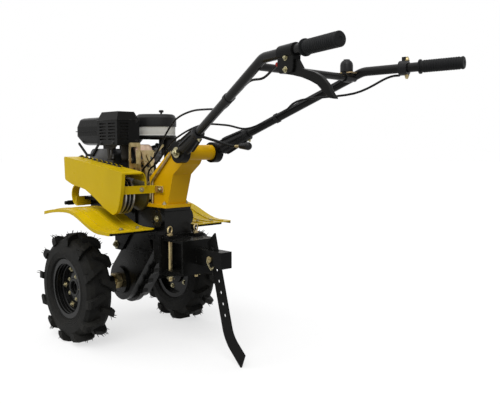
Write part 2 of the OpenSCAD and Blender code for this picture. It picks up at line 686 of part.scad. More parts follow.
// Carburettor: body on the head's intake side with its float bowl below
module carburettor() place() color(steel) {
  block([carb_at[0] - carb_w / 2, carb_at[1] - carb_w / 2, carb_z - carb_w / 2],
    [carb_at[0] + carb_w / 2, carb_at[1] + carb_w / 2 - 3, carb_z + carb_w / 2]);
  translate([carb_at[0], carb_at[1], carb_z - carb_w]) cylinder(r = carb_bowl_r, h = carb_w * 0.6);
  translate([carb_at[0], carb_at[1], carb_z - carb_w * 1.15]) cylinder(r = carb_bowl_r / 3, h = carb_w / 2);
  pin_y(carb_at[0], carb_z - 4, elbow_r, carb_at[1], -fin_half);
}

// Fan cowl and recoil starter on the flywheel side
cowl_r = 96;
cowl_l = 42;
recoil_r = 82;
recoil_l = 30;
recoil_slots = 10;
slot_w = 8;
slot_share = 0.56;
slot_l_share = 0.24;
module fan_cowl() place() color(black) pin_y(crank_x, crank_z, cowl_r, -crankcase_half - cowl_l, -crankcase_half);
recoil_y = -crankcase_half - cowl_l;
module recoil_starter() place() color(black) difference() {
  translate([crank_x, recoil_y, crank_z]) rotate([90, 0, 0]) rotate_extrude() polygon([[0, 0], [recoil_r, 0],
    [recoil_r, recoil_l * 0.5], [recoil_r * 0.86, recoil_l * 0.8], [recoil_r * 0.5, recoil_l], [0, recoil_l]]);
  for (i = [0:recoil_slots - 1]) translate([crank_x, recoil_y - recoil_l, crank_z])
    rotate([0, 360 * (i + 0.5) / recoil_slots, 0]) translate([recoil_r * slot_share, -over, -slot_w / 2])
      cube([recoil_r * slot_l_share, recoil_l / 2 + over, slot_w]);
}

// Control plate: bent zinc bracket standing on the bed behind the cylinder
control_x = -137;
control_t = 3;
control_y0 = -22;
control_y1 = 84;
control_h = 192;
control_fold = 26;
shelf_share = 0.24;
module control_plate() place() color(gold) difference() {
  union() {
    block([control_x, control_y0, bed_z], [control_x + control_t, control_y1 - control_fold, bed_z + control_h]);
    block([control_x, control_y0, bed_z], [control_x + control_fold, control_y1 - control_fold, bed_z + control_t]);
    block([control_x - control_fold, control_y1 - control_fold - control_t, bed_z + control_h * shelf_share],
      [control_x + control_t, control_y1 - control_fold, bed_z + control_h]);
    block([control_x - control_fold, control_y0, bed_z + control_h * shelf_share],
      [control_x + control_t, control_y1 - control_fold, bed_z + control_h * shelf_share + control_t]);
  }
  for (y = [0.3, 0.7]) translate([control_x - over, mix(control_y0, control_y1 - control_fold, y), bed_z + control_h * 0.7])
    rotate([0, 90, 0]) cylinder(r = control_fold / 2.5, h = 2 * over + control_t);
}

// Pulleys with two belt grooves, and the belts that run in them
groove_gap = 4;
groove_h = belt_h + 3;
module pulley_face(r, bore) {
  g = belt_w + 2 * fit;
  difference() {
    translate([bore, -pulley_w / 2]) square([r - bore, pulley_w]);
    for (s = [-1, 1]) translate([r, s * (g / 2 + groove_gap / 2 + fit)]) polygon([[-groove_h, -g / 2], [over, -g / 2 - groove_gap / 2],
      [over, g / 2 + groove_gap / 2], [-groove_h, g / 2]]);
    translate([bore + groove_h, pulley_w / 4]) square([r - bore - 2.6 * groove_h, pulley_w / 2]);
  }
}
module engine_pulley() place() color(grey) turned_y(crank_x, pulley_y, crank_z) pulley_face(small_pulley_r, crank_r + fit / 2);
module gearbox_pulley() place() color(grey) turned_y(input_x, pulley_y, input_z) pulley_face(big_pulley_r, input_r + fit / 2);
belt_steps = 20;
function on_circle(c, r, t) = c + r * [cos(t), sin(t)];
// Outline round two circles, with its straight stretches along their common tangents
function loop_outline(p, rp, q, rq, n) = let (d = q - p, a = atan2(d[1], d[0]), b = acos((rp - rq) / norm(d)))
  concat([for (i = [0:n]) on_circle(q, rq, mix(a - b, a + b, i / n))],
    [for (i = [0:n]) on_circle(p, rp, mix(a + b, a - b + 360, i / n))]);
module belt_loop(d) {
  seat = fit + d - groove_h;
  polygon(loop_outline([input_x, input_z], big_pulley_r + seat, [crank_x, crank_z], small_pulley_r + seat,
    belt_steps));
}
module drive_belts() place() color(rubber) for (s = [-1, 1])
  let (y = pulley_y + s * (belt_w / 2 + fit + groove_gap / 2 + fit)) slab(y - belt_w / 2, y + belt_w / 2)
    difference() {
      belt_loop(belt_h);
      belt_loop(0);
    }

// Gear lever: rod from the gearbox along the column, over the cross tube to a grip behind it
lever_r = 5;
lever_y = column_half + lever_r + fit;
lever_bend = 24;
grip_seat = 10;
knob_slim_r = 9;
knob_fat_r = 14;
knob_l = 48;
lever_pts = [[-226, lever_y, box_top + base_t], [-226, lever_y, 620], [-392, lever_y, 772], [-480, 10, 785],
  [-556, -62, 752], [-606, -62, 752]];
module gear_lever() place() color(gold) bent_rod(lever_pts, lever_r, lever_bend);
module gear_grip() place() color(black) translate(lever_pts[len(lever_pts) - 1]) rotate([0, -90, 0]) difference() {
  rotate_extrude() polygon(concat([[0, -grip_seat], [knob_slim_r, -grip_seat], [knob_fat_r, knob_l * 0.6]],
    [for (a = [0:15:90]) [knob_fat_r * cos(a), knob_l * 0.6 + knob_fat_r * sin(a)]]));
  translate([0, 0, -2 * grip_seat]) cylinder(r = lever_r + fit / 2, h = 2 * grip_seat + fit);
}

// Hitch bracket: plate on the casting's rear with two pairs of ears for the pins
plate_t = 12;
plate_half = 88;
hitch_top = 428;
hitch_low = 282;
ear_t = 10;
ear_half = 20;
frame_gap = 0.5;
plate_x = hitch_face - plate_t;
module ears(z) { for (y = [-1, 1]) block([-hitch_back - ear_half, y * hitch_half - ear_half, z], [plate_x, y * hitch_half + ear_half, z + ear_t]); }
module pin_holes() { for (y = [-1, 1]) translate([-hitch_back, y * hitch_half, 0]) cylinder(r = hitch_pin_r + fit / 2, h = cross_z); }
module hitch_bracket() place() color(black) difference() {
  union() {
    block([plate_x, -plate_half, hitch_low], [hitch_face, plate_half, hitch_top]);
    ears(hitch_top - ear_t);
    ears(hitch_low);
  }
  pin_holes();
}

// Hitch frame: channel between the ears, arm and slanted socket for the drag bar
frame_rear = -440;
frame_t = 9;
frame_half = 78;
frame_top = hitch_top - ear_t - frame_gap;
frame_low = hitch_low + ear_t + frame_gap;
socket_len = 103;
socket_rear = -593;
socket_z = 330;
socket_h = 58;
socket_half = 24;
arm_block = 18;
slot_gap = 0.4;
module hitch_frame() place() color(black) difference() {
  union() {
    block([frame_rear, -frame_half, frame_top - frame_t], [plate_x - frame_gap, frame_half, frame_top]);
    block([frame_rear, -frame_half, frame_low], [plate_x - frame_gap, frame_half, frame_low + frame_t]);
    block([frame_rear - frame_t, -frame_half, frame_low], [frame_rear, frame_half, frame_top]);
    block([socket_rear + socket_len / 2, -arm_block, socket_z], [frame_rear, arm_block, socket_z + socket_h]);
    block([socket_rear, -socket_half, socket_z], [socket_rear + socket_len, socket_half, socket_z + socket_h]);
  }
  pin_holes();
  drag_frame() translate([-drag_w / 2 - slot_gap, -drag_t / 2 - slot_gap, 0])
    cube([drag_w + 2 * slot_gap, drag_t + 2 * slot_gap, 2 * drag_l]);
  pin_y(pin_x, pin_z, drag_hole_r + fit / 2, drag_t / 2, socket_half + over);
}

// Hitch pins with ring tops
ring_r = 13;
ring_wire = 3;
pin_drop = 22;
module hitch_pins() place() color(gold) for (y = [-1, 1]) translate([-hitch_back, y * hitch_half, 0]) {
  translate([0, 0, hitch_low - pin_drop]) cylinder(r = hitch_pin_r, h = hitch_top + pin_drop - hitch_low + fit);
  translate([0, 0, hitch_top]) cylinder(r = hitch_pin_r * 1.5, h = ring_wire * 2);
  translate([0, 0, hitch_top + ring_wire * 2 + ring_r]) rotate([0, 90, 20]) rotate_extrude() translate([ring_r, 0]) circle(ring_wire);
}

// Drag bar: drilled flat bar with a slanted head and a swept-back point on the ground
tip_back = 68;
tip_drop = 112;
front_arc = (pow(tip_back + drag_w / 2, 2) + pow(tip_drop, 2)) / (2 * (tip_back + drag_w / 2));
rear_arc = (pow(tip_back - drag_w / 2, 2) + pow(tip_drop, 2)) / (2 * (tip_back - drag_w / 2));
drag_z = front_arc + (drag_w / 2 - front_arc) * sin(drag_lean);
drag_head = 26;
pin_along = (socket_z + socket_h / 2 - drag_z) / cos(drag_lean);
pin_x = -drag_back + pin_along * sin(drag_lean);
pin_z = socket_z + socket_h / 2;
hole_range = [-5:1:1];
module drag_frame() { translate([-drag_back, 0, drag_z]) rotate([0, drag_lean, 0]) children(); }
module drag_bar() place() color(black) drag_frame() slab(-drag_t / 2, drag_t / 2) difference() {
  union() {
    polygon([[-drag_w / 2, 0], [drag_w / 2, 0], [drag_w / 2, drag_l - drag_head], [-drag_w / 2, drag_l]]);
    intersection() {
      difference() {
        translate([drag_w / 2 - front_arc, 0]) circle(front_arc, $fn = 96);
        translate([-drag_w / 2 - rear_arc, 0]) circle(rear_arc, $fn = 96);
      }
      translate([-tip_back, -2 * tip_drop]) square([tip_back + drag_w, 2 * tip_drop]);
    }
  }
  for (i = hole_range) translate([0, pin_along + i * drag_pitch]) circle(drag_hole_r);
}
// Retaining pin in the socket's wall, its end at the bar's face
pin_head = 11;
module drag_pin() place() color(gold) {
  pin_y(pin_x, pin_z, drag_hole_r, drag_t / 2 + slot_gap + fit, socket_half + ring_wire);
  pin_y(pin_x, pin_z, pin_head, socket_half, socket_half + 2 * ring_wire);
}

// Handle clamps: disc against the cross tube's end with a sleeve on the handlebar tube
clamp_r = 37;
sleeve_r = bar_r + 6;
sleeve_l = 96;
module clamp() {
  difference() {
    union() {
      pin_y(-cross_back, cross_z, clamp_r, clamp_y - clamp_t / 2, clamp_y + clamp_t / 2);
      rod(bar_foot, bar_foot + bar_dir * sleeve_l, sleeve_r);
      pin_y(-cross_back, cross_z, cross_r / 3, clamp_y, clamp_y + clamp_t / 2 + lever_r);
    }
    rod(bar_foot, bar_foot + bar_dir * 2 * sleeve_l, bar_r + fit / 2);
    block([-cross_back - 3 * clamp_r, -over, 0], [-cross_back + 3 * clamp_r, cross_half + fit, 2 * cross_z]);
  }
}
module handle_clamps() place() color(black) for (y = [0, 1]) mirror([0, y, 0]) clamp();

// Handlebar: two bent tubes and the brace between them
brace_back = 30;
brace_at = bar_bend - bar_dir * brace_back;
module handlebar() place() color(black) {
  for (y = [0, 1]) mirror([0, y, 0]) bent_rod([bar_foot + bar_dir * fit, bar_bend, bar_end - hand_dir * grip_cap], bar_r, bend_r);
  pin_y(brace_at[0], brace_at[2] - bar_r / 2, brace_r, -brace_at[1], brace_at[1]);
}

// Grips: ribbed rubber sleeves with a collar, closed at the end
grip_rings = 9;
module grip() {
  translate(bar_end - hand_dir * grip_l) rotate([0, acos(hand_dir[2]), atan2(hand_dir[1], hand_dir[0])]) difference() {
    rotate_extrude() {
      square([grip_r - grip_groove, grip_l + grip_cap]);
      square([grip_r + 6, 5]);
      for (i = [0:grip_rings]) translate([0, 14 + i * (grip_l - 18) / grip_rings]) square([grip_r, 6]);
    }
    translate([0, 0, -over]) cylinder(r = bar_r + fit / 2, h = grip_l + over - grip_cap + fit);
  }
}
module grips() place() color(rubber) for (y = [0, 1]) mirror([0, y, 0]) grip();

// Clutch lever on the left tube: clamp block, pivoted lever below the grip
control_back = 150;
module along_hand(back) { translate(bar_end - hand_dir * back) rotate([0, 0, atan2(-hand_dir[1], -hand_dir[0])]) children(); }
block_l = 34;
block_w = 40;
lever_stock = 4;
lever_drop = 46;
module clutch_bracket() place() color(black) difference() {
  along_hand(control_back + block_l) translate([-block_l / 2, -block_w / 2, -bar_r * 2.4]) cube([block_l, block_w, bar_r * 3.9]);
  rod(bar_end - hand_dir * (control_back + 3 * block_l), bar_end, bar_r + fit / 2);
}
module clutch_lever() place() color(black) along_hand(control_back + block_l) translate([0, 0, -bar_r * 2.4 - lever_stock])
  bent_rod([[block_l / 2, 0, 0], [-block_l, 0, 0], [-block_l * 2.4, 0, -lever_drop * 0.35], [-block_l * 5, 0, -lever_drop * 0.2]], lever_stock, lever_drop);

// Throttle lever clamp on the right tube
throttle_r = 22;
throttle_l = 26;
module throttle_lever() place() color(black) mirror([0, 1, 0]) difference() {
  along_hand(control_back + throttle_l) {
    rotate([0, 90, 0]) cylinder(r = throttle_r, h = throttle_l, center = true);
    translate([-throttle_l / 4, -lever_stock, 0]) cube([throttle_l / 2, 2 * lever_stock, throttle_r * 1.5]);
  }
  rod(bar_end - hand_dir * (control_back + 4 * throttle_l), bar_end, bar_r + fit / 2);
}

// Stop switch on the right end of the brace
switch_r = 14;
switch_h = 30;
switch_y = -brace_at[1] + 3 * switch_r;
module stop_switch() place() color(black) difference() {
  union() {
    translate([brace_at[0], switch_y, brace_at[2]]) {
      cylinder(r = switch_r, h = switch_h);
      translate([0, 0, switch_h]) cylinder(r = switch_r * 0.6, h = switch_h / 4);
    }
    pin_y(brace_at[0], brace_at[2] - bar_r / 2, brace_r + 4, switch_y - switch_r, switch_y + switch_r);
  }
  pin_y(brace_at[0], brace_at[2] - bar_r / 2, brace_r + fit / 2, switch_y - 2 * switch_r, switch_y + 2 * switch_r);
}

// Tyre: carcass of revolution with swept lugs in two staggered rows
carcass_r = tyre_r - lug_h;
carcass_half = tyre_w / 2 - 4;
bead_half = rim_w / 2 - rim_wall;
lug_root = carcass_r - lug_h;
crown_flat = tyre_w * 0.30;
carcass_shares = [[0.06, 0.92], [0.40, 1], [0.72, 0.97], [0.92, 0.80], [1, 0.52]];
module carcass_face() {
  flange_top = bead_r + rim_flange_h + fit;
  wall = concat([[bead_r + fit, bead_half - fit], [flange_top, bead_half - fit]],
    [for (s = carcass_shares) [mix(flange_top, carcass_r, s[0]), s[1] * carcass_half]]);
  polygon(concat(wall, [for (i = [len(wall) - 1:-1:0]) [wall[i][0], -wall[i][1]]]));
}
module lug_limit() {
  h = tyre_w / 2;
  polygon([[lug_root, -h], [carcass_r, -h], [tyre_r - lug_h * 0.3, -h + lug_h * 0.25], [tyre_r, -crown_flat],
    [tyre_r, crown_flat], [tyre_r - lug_h * 0.3, h - lug_h * 0.25], [carcass_r, h], [lug_root, h]]);
}
module lug() {
  far = tyre_w / 2 + over;
  near = -lug_w / 4;
  function at(y) = -lug_sweep * (y - near) / (far - near);
  translate([0, 0, lug_root]) linear_extrude(2 * lug_h + over) polygon([[at(near) - lug_w / 2, near], [at(near) + lug_w / 2, near],
    [at(far) + lug_w * 0.75, far], [at(far) - lug_w * 0.75, far]]);
}
module tyre() translate([0, track_half, axle_z]) {
  rotate([90, 0, 0]) rotate_extrude() carcass_face();
  intersection() {
    for (i = [0:lug_count - 1], side = [0, 1]) rotate([0, 360 / lug_count * (i + side / 2), 0]) mirror([0, side, 0]) lug();
    rotate([90, 0, 0]) rotate_extrude() lug_limit();
  }
}
module tyre_left() place() color(rubber) tyre();
module tyre_right() place() color(rubber) mirror([0, 1, 0]) tyre();

// Rim: drop-centre barrel with two flanges and a disc set inboard
rim_edge = rim_w / 2;
disc_t = 6;
hub_hole_r = hub_r + fit;
rim_bolts = 5;
rim_bolt_r = 5;
rim_bolt_pcr = 74;
module rim() translate([0, track_half, axle_z]) difference() {
  union() {
    rotate([-90, 0, 0]) rotate_extrude() {
      difference() {
        translate([bead_r - rim_wall, -rim_edge]) square([rim_wall, rim_w]);
      }
      for (s = [-1, 1]) translate([bead_r - rim_wall, s * (rim_edge - rim_wall / 2) - rim_wall / 2])
        square([rim_flange_h + rim_wall, rim_wall]);
    }
    rotate([-90, 0, 0]) rotate_extrude() translate([hub_hole_r, -disc_inset - disc_t]) square([bead_r - rim_wall / 2 - hub_hole_r, disc_t]);
  }
  for (i = [0:rim_bolts - 1]) rotate([0, 360 * i / rim_bolts, 0]) translate([rim_bolt_pcr, -disc_inset + over, 0])
    rotate([90, 0, 0]) cylinder(r = rim_bolt_r, h = disc_t + 2 * over);
}
module rim_left() place() color(black) rim();
module rim_right() place() color(black) mirror([0, 1, 0]) rim();

// Hub: journal in the casting, golden hexagon collar, sleeve, flange and an open outer socket
hub_face = track_half - disc_inset - disc_t;
hub_end = track_half - disc_inset + 18;
socket_r = 14;
socket_depth = 60;
journal_l = case_half - seam_w - run_gap;
module hub() {
  difference() {
    union() {
      pin_y(0, axle_z, axle_r, case_half - journal_l, case_half + run_gap + fit);
      translate([0, case_half + run_gap, axle_z]) rotate([-90, 0, 0]) cylinder(r = collar_r, h = collar_l, $fn = 6);
      pin_y(0, axle_z, hub_r, case_half + run_gap, hub_end);
      pin_y(0, axle_z, hub_flange_r, hub_face - hub_flange_t, hub_face);
    }
    pin_y(0, axle_z, socket_r, hub_end - socket_depth, hub_end + over);
  }
}
module hub_left() place() color(gold) hub();
module hub_right() place() color(gold) mirror([0, 1, 0]) hub();

// Control cables: stretches on the handlebar, and spans between handlebar and engine
cable_r = 3.5;
cable_n = 5;
forward = -unit([hand_dir[0], hand_dir[1], 0]);
inner_side = unit([0, -1, 0] + bar_dir * bar_dir[1]);
clip_share = 0.62;
throttle_clip_share = 0.45;
port_run = 40;
plate_drop = 60;
shelf_top = bed_z + control_h * shelf_share + control_t;
function flip(p) = [p[0], -p[1], p[2]];
// Point beside the left tube, on its inner side, a gap away from touching it
function beside(s, gap) = mix(bar_foot, bar_bend, s) + inner_side * (bar_r + cable_r + fit + gap);
function port(back, l, drop) = bar_end - hand_dir * back + forward * (l / 2 + 2 * fit) - [0, 0, drop];
clutch_port = port(control_back + block_l, block_l, bar_r * 1.9);
throttle_port = flip(port(control_back + throttle_l, throttle_l, throttle_r * 0.96));
clutch_exit = beside(clip_share, 0);
throttle_exit = flip(beside(throttle_clip_share, 0));
clutch_shelf = [control_x - control_fold / 2, control_y1 / 2, shelf_top + 2 * fit];
throttle_shelf = [control_x - control_fold / 2, control_y1 / 8, shelf_top + 2 * fit];
clutch_upper = [clutch_port, clutch_port + forward * port_run, bar_bend + [24, -26, -48], beside(0.8, 6),
  beside(0.7, 1), clutch_exit];
clutch_span = [clutch_exit - bar_dir * 2 * fit, clutch_exit - bar_dir * port_run + inner_side * 4, [-700, 116, 866],
  [-600, 85, 872], [-480, 58, 872], [-370, 40, 850], [-300, 34, 800], [-235, 38, 720],
  clutch_shelf + [0, 0, plate_drop], clutch_shelf];
throttle_upper = [throttle_port, throttle_port + flip(forward) * port_run - [0, 0, 5], [-985, -185, 915], flip(beside(0.66, 22)),
  flip(beside(0.54, 5)), throttle_exit];
throttle_span = [throttle_exit - flip(bar_dir) * 2 * fit, throttle_exit - flip(bar_dir) * port_run + flip(inner_side) * 4,
  [-600, -82, 812],
  [-530, -52, 826], [-430, -18, 826], [-300, 0, 775], [-205, 4, 695], throttle_shelf + [0, 0, plate_drop],
  throttle_shelf];
module clutch_cable() place() color(rubber) cable(clutch_upper, cable_r, cable_n);
module clutch_cable_span() place() color(rubber) cable(clutch_span, cable_r, cable_n);
module throttle_cable() place() color(rubber) cable(throttle_upper, cable_r, cable_n);
module throttle_cable_span() place() color(rubber) cable(throttle_span, cable_r, cable_n);

gearbox_case();
input_housing();
engine_bed();
fender_front_bracket();
front_bumper();
fender_rear_brackets();
fender_left();
fender_right();
belt_cover();
cover_strap();
column();
crankcase();
cylinder_barrel();
silencer();
silencer_guard();
fuel_tank();
tank_cap();
air_cleaner_lid();
air_cleaner_band();
air_cleaner_base();
carburettor();
fan_cowl();
recoil_starter();
control_plate();
engine_pulley();
gearbox_pulley();
drive_belts();
gear_lever();
gear_grip();
hitch_bracket();
hitch_frame();
hitch_pins();
drag_bar();
drag_pin();
handle_clamps();
handlebar();
grips();
clutch_bracket();
clutch_lever();
throttle_lever();
stop_switch();
tyre_left();
tyre_right();
rim_left();
rim_right();
hub_left();
hub_right();
clutch_cable();
clutch_cable_span();
throttle_cable();
throttle_cable_span();
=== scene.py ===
"""Looks of a two-wheel walking tractor: finishes, fasteners, cables and fittings on its frame.

Pieces are laid out in millimetres from the ground under the wheel axle, +X forward, +Y left and +Z up,
and at() turns such a point into the row frame's metres.
"""
import math
import random

import bmesh
import bpy
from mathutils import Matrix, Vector
from mathutils.geometry import tessellate_polygon


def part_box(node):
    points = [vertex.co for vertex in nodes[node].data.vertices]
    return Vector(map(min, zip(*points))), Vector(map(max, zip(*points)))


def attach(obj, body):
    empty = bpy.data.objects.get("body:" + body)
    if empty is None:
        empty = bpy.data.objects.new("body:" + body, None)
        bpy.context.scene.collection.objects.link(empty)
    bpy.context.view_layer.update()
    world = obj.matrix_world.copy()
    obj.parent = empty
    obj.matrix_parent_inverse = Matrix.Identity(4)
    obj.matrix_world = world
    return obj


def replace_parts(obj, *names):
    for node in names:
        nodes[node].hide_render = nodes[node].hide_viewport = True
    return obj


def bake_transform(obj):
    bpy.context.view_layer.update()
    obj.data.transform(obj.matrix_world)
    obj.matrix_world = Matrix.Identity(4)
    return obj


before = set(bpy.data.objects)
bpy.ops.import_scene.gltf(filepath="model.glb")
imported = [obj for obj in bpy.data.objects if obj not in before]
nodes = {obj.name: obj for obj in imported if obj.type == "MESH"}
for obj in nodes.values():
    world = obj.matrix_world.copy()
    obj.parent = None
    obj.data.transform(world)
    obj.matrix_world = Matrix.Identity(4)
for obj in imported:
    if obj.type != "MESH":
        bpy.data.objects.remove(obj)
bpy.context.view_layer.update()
seed = random.Random(41)

MM = 0.001
X, Y, Z = Vector((1, 0, 0)), Vector((0, 1, 0)), Vector((0, 0, 1))
AXLE = sum(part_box("tyre_left"), Vector()) / 2
AXLE_Z = AXLE.z / MM
TRACK = AXLE.y / MM
SIDES = (("left", 1), ("right", -1))


def at(point):
    """A point in the axle's millimetres, in the row frame's metres."""
    return Vector((AXLE.x + point[0] * MM, point[1] * MM, point[2] * MM))


def mix(a, b, share):
    return a + (b - a) * share


def flip(point):
    """The same point on the other side of the machine."""
    return Vector((point[0], -point[1], point[2]))


def on_side(point, side):
    return Vector((point[0], side * point[1], point[2]))


# Materials

class Shader:
    """Adds and joins the nodes of one material."""

    def __init__(self, name):
        self.material = bpy.data.materials.new(name)
        self.material.use_nodes = True
        self.tree = self.material.node_tree
        self.tree.nodes.clear()
        self.coords = self.add("ShaderNodeTexCoord")

    def add(self, kind, inputs=None, **settings):
        node = self.tree.nodes.new(kind)
        for key, value in settings.items():
            setattr(node, key, value)
        for key, value in (inputs or {}).items():
            if isinstance(value, bpy.types.NodeSocket):
                self.tree.links.new(value, node.inputs[key])
            else:
                node.inputs[key].default_value = value
        return node

    def noise(self, scale, detail=3.0, roughness=0.55):
        inputs = {"Vector": self.coords.outputs["Object"], "Scale": scale, "Detail": detail,
                  "Roughness": roughness}
        return self.add("ShaderNodeTexNoise", inputs).outputs["Fac"]

    def remap(self, value, low, high, to_low=0.0, to_high=1.0):
        inputs = {"Value": value, "From Min": low, "From Max": high, "To Min": to_low, "To Max": to_high}
        return self.add("ShaderNodeMapRange", inputs).outputs["Result"]

    def maths(self, operation, a, b):
        return self.add("ShaderNodeMath", {0: a, 1: b}, operation=operation).outputs["Value"]

    def blend(self, share, a, b):
        node = self.add("ShaderNodeMix", {0: share}, data_type="RGBA")
        for socket, value in ((node.inputs[6], a), (node.inputs[7], b)):
            if isinstance(value, bpy.types.NodeSocket):
                self.tree.links.new(value, socket)
            else:
                socket.default_value = value
        return node.outputs[2]

    def up(self):
        """Share by which the surface faces upward."""
        split = self.add("ShaderNodeSeparateXYZ", {0: self.coords.outputs["Normal"]})
        return self.remap(split.outputs["Z"], 0.35, 0.95)

    def place(self, axis):
        """Distance of the point along one axis of the row frame."""
        where = self.add("ShaderNodeNewGeometry").outputs["Position"]
        return self.add("ShaderNodeSeparateXYZ", {0: where}).outputs[axis]

    def round_edges(self, radius):
        return self.add("ShaderNodeBevel", {"Radius": radius}, samples=4).outputs["Normal"]

    def edges(self, radius, low, high):
        """Share by which a point lies on a sharp edge."""
        soft = self.round_edges(radius)
        flat = self.add("ShaderNodeNewGeometry").outputs["Normal"]
        dot = self.add("ShaderNodeVectorMath", {0: soft, 1: flat}, operation="DOT_PRODUCT").outputs["Value"]
        return self.remap(dot, high, low)

    def bump(self, height, strength, distance, normal=None):
        inputs = {"Height": height, "Strength": strength, "Distance": distance}
        if normal is not None:
            inputs["Normal"] = normal
        return self.add("ShaderNodeBump", inputs).outputs["Normal"]

    def surface(self, **inputs):
        names = {"colour": "Base Color", "rough": "Roughness", "metal": "Metallic", "normal": "Normal",
                 "specular": "Specular IOR Level"}
        shader = self.add("ShaderNodeBsdfPrincipled", {names[key]: value for key, value in inputs.items()})
        self.add("ShaderNodeOutputMaterial", {"Surface": shader.outputs["BSDF"]})
        return self.material


def tone(colour, gain):
    return tuple(min(1.0, c * gain) for c in colour) + (1.0,)


DUST = (0.30, 0.26, 0.19, 1.0)
# Bare steel under chipped paint, which also serves as a painted highlight on black edges.
EDGE_STEEL_AND_HIGHLIGHT = (0.34, 0.33, 0.31, 1.0)


def paint(name, colour, rough, specular, dust=0.03, wear_and_highlight=0.2, edge=0.0012):
    """Sprayed enamel: faint orange peel, dust on top faces and pale steel along the edges, partly chipped
    paint and partly a painted highlight on black parts.
    """
    s = Shader(name)
    broad = s.remap(s.noise(5.0), 0.3, 0.7)
    grime = s.noise(38.0, 6.0, 0.65)
    shade = s.blend(broad, tone(colour, 0.90), tone(colour, 1.06))
    dusty = s.maths("MULTIPLY", s.up(), s.remap(grime, 0.42, 0.72, 0.0, dust))
    shade = s.blend(dusty, shade, DUST)
    # Pale steel on the edges: partly chipped paint, partly a painted highlight where the enamel is black.
    rubbed_and_highlit = s.remap(s.noise(160.0, 4.0), 0.52, 0.62, 0.0, wear_and_highlight)
    chips_and_highlights = s.maths("MULTIPLY", s.edges(edge, 0.90, 0.985), rubbed_and_highlit)
    shade = s.blend(chips_and_highlights, shade, EDGE_STEEL_AND_HIGHLIGHT)
    roughness = s.remap(grime, 0.3, 0.75, rough - 0.06, rough + 0.16)
    peel = s.bump(s.noise(520.0, 2.0), 0.06, 0.0006, s.round_edges(edge))
    return s.surface(colour=shade, rough=roughness, normal=peel, specular=specular)


def casting(name, colour, rough, metal, specular=0.15, grain=0.35):
    """Sand-cast metal: a pitted skin with darker hollows."""
    s = Shader(name)
    pits = s.noise(330.0, 5.0, 0.7)
    stain = s.remap(s.noise(16.0, 5.0), 0.35, 0.7)
    shade = s.blend(stain, tone(colour, 1.12), tone(colour, 0.72))
    shade = s.blend(s.remap(pits, 0.55, 0.75, 0.0, 0.4), shade, tone(colour, 0.45))
    normal = s.bump(pits, grain, 0.0008, s.round_edges(0.0016))
    return s.surface(colour=shade, rough=s.remap(stain, 0.0, 1.0, rough, rough + 0.15), metal=metal,
                     specular=specular, normal=normal)


def zinc(name, low, high, tint, black_from=None, axis="Y"):
    """Passivated zinc: a golden film that shifts to rose, painted black over a range along an axis.

    A range along Y counts from the machine's middle.
    """
    s = Shader(name)
    film = s.remap(s.noise(70.0, 4.0), 0.32, 0.70)
    rose = s.remap(s.noise(34.0, 3.0), 0.50, 0.75, 0.0, 0.6)
    shade = s.blend(film, low, high)
    shade = s.blend(rose, shade, tint)
    rough, metal = s.remap(film, 0.0, 1.0, 0.30, 0.48), 1.0
    if black_from is not None:
        start, end = black_from
        spot = s.place(axis)
        if axis == "Y":
            spot = s.maths("ABSOLUTE", spot, 0.0)
        away = s.maths("ABSOLUTE", s.maths("SUBTRACT", spot, (start + end) / 2), 0.0)
        metal = s.maths("GREATER_THAN", away, (end - start) / 2)
        shade = s.blend(metal, BLACK + (1.0,), shade)
    normal = s.bump(s.noise(800.0, 3.0), 0.10, 0.0004, s.round_edges(0.0008))
    return s.surface(colour=shade, rough=rough, metal=metal, specular=0.1, normal=normal)


def rubber(name, colour, rough, grain_scale, grain, dust):
    """Moulded rubber: a dull grain with dry dust in patches."""
    s = Shader(name)
    grain_noise = s.noise(grain_scale, 5.0, 0.7)
    patches = s.remap(s.noise(22.0, 6.0, 0.7), 0.45, 0.75, 0.0, dust)
    shade = s.blend(s.remap(grain_noise, 0.3, 0.7), tone(colour, 0.75), tone(colour, 1.25))
    shade = s.blend(patches, shade, DUST)
    normal = s.bump(grain_noise, grain, 0.0012)
    return s.surface(colour=shade, rough=s.remap(patches, 0.0, 0.3, rough, rough + 0.1), specular=0.10,
                     normal=normal)


def plastic(name, colour, rough, specular=0.16):
    """Moulded plastic: a fine spark-eroded grain."""
    s = Shader(name)
    grain = s.noise(1400.0, 2.0)
    broad = s.remap(s.noise(14.0, 4.0), 0.3, 0.7)
    shade = s.blend(broad, tone(colour, 0.88), tone(colour, 1.10))
    normal = s.bump(grain, 0.16, 0.0004, s.round_edges(0.0010))
    return s.surface(colour=shade, rough=s.remap(broad, 0.0, 1.0, rough - 0.05, rough + 0.08),
                     specular=specular, normal=normal)


def turned_iron(name, colour):
    """Turned iron: fine tool rings and a film of rust."""
    s = Shader(name)
    rust = s.remap(s.noise(55.0, 6.0, 0.7), 0.50, 0.72, 0.0, 0.55)
    shade = s.blend(s.remap(s.noise(12.0), 0.3, 0.7), tone(colour, 0.85), tone(colour, 1.15))
    shade = s.blend(rust, shade, (0.20, 0.12, 0.07, 1.0))
    normal = s.bump(s.noise(600.0, 3.0), 0.2, 0.0004, s.round_edges(0.001))
    return s.surface(colour=shade, rough=s.remap(rust, 0.0, 0.55, 0.36, 0.7), metal=0.75, normal=normal)


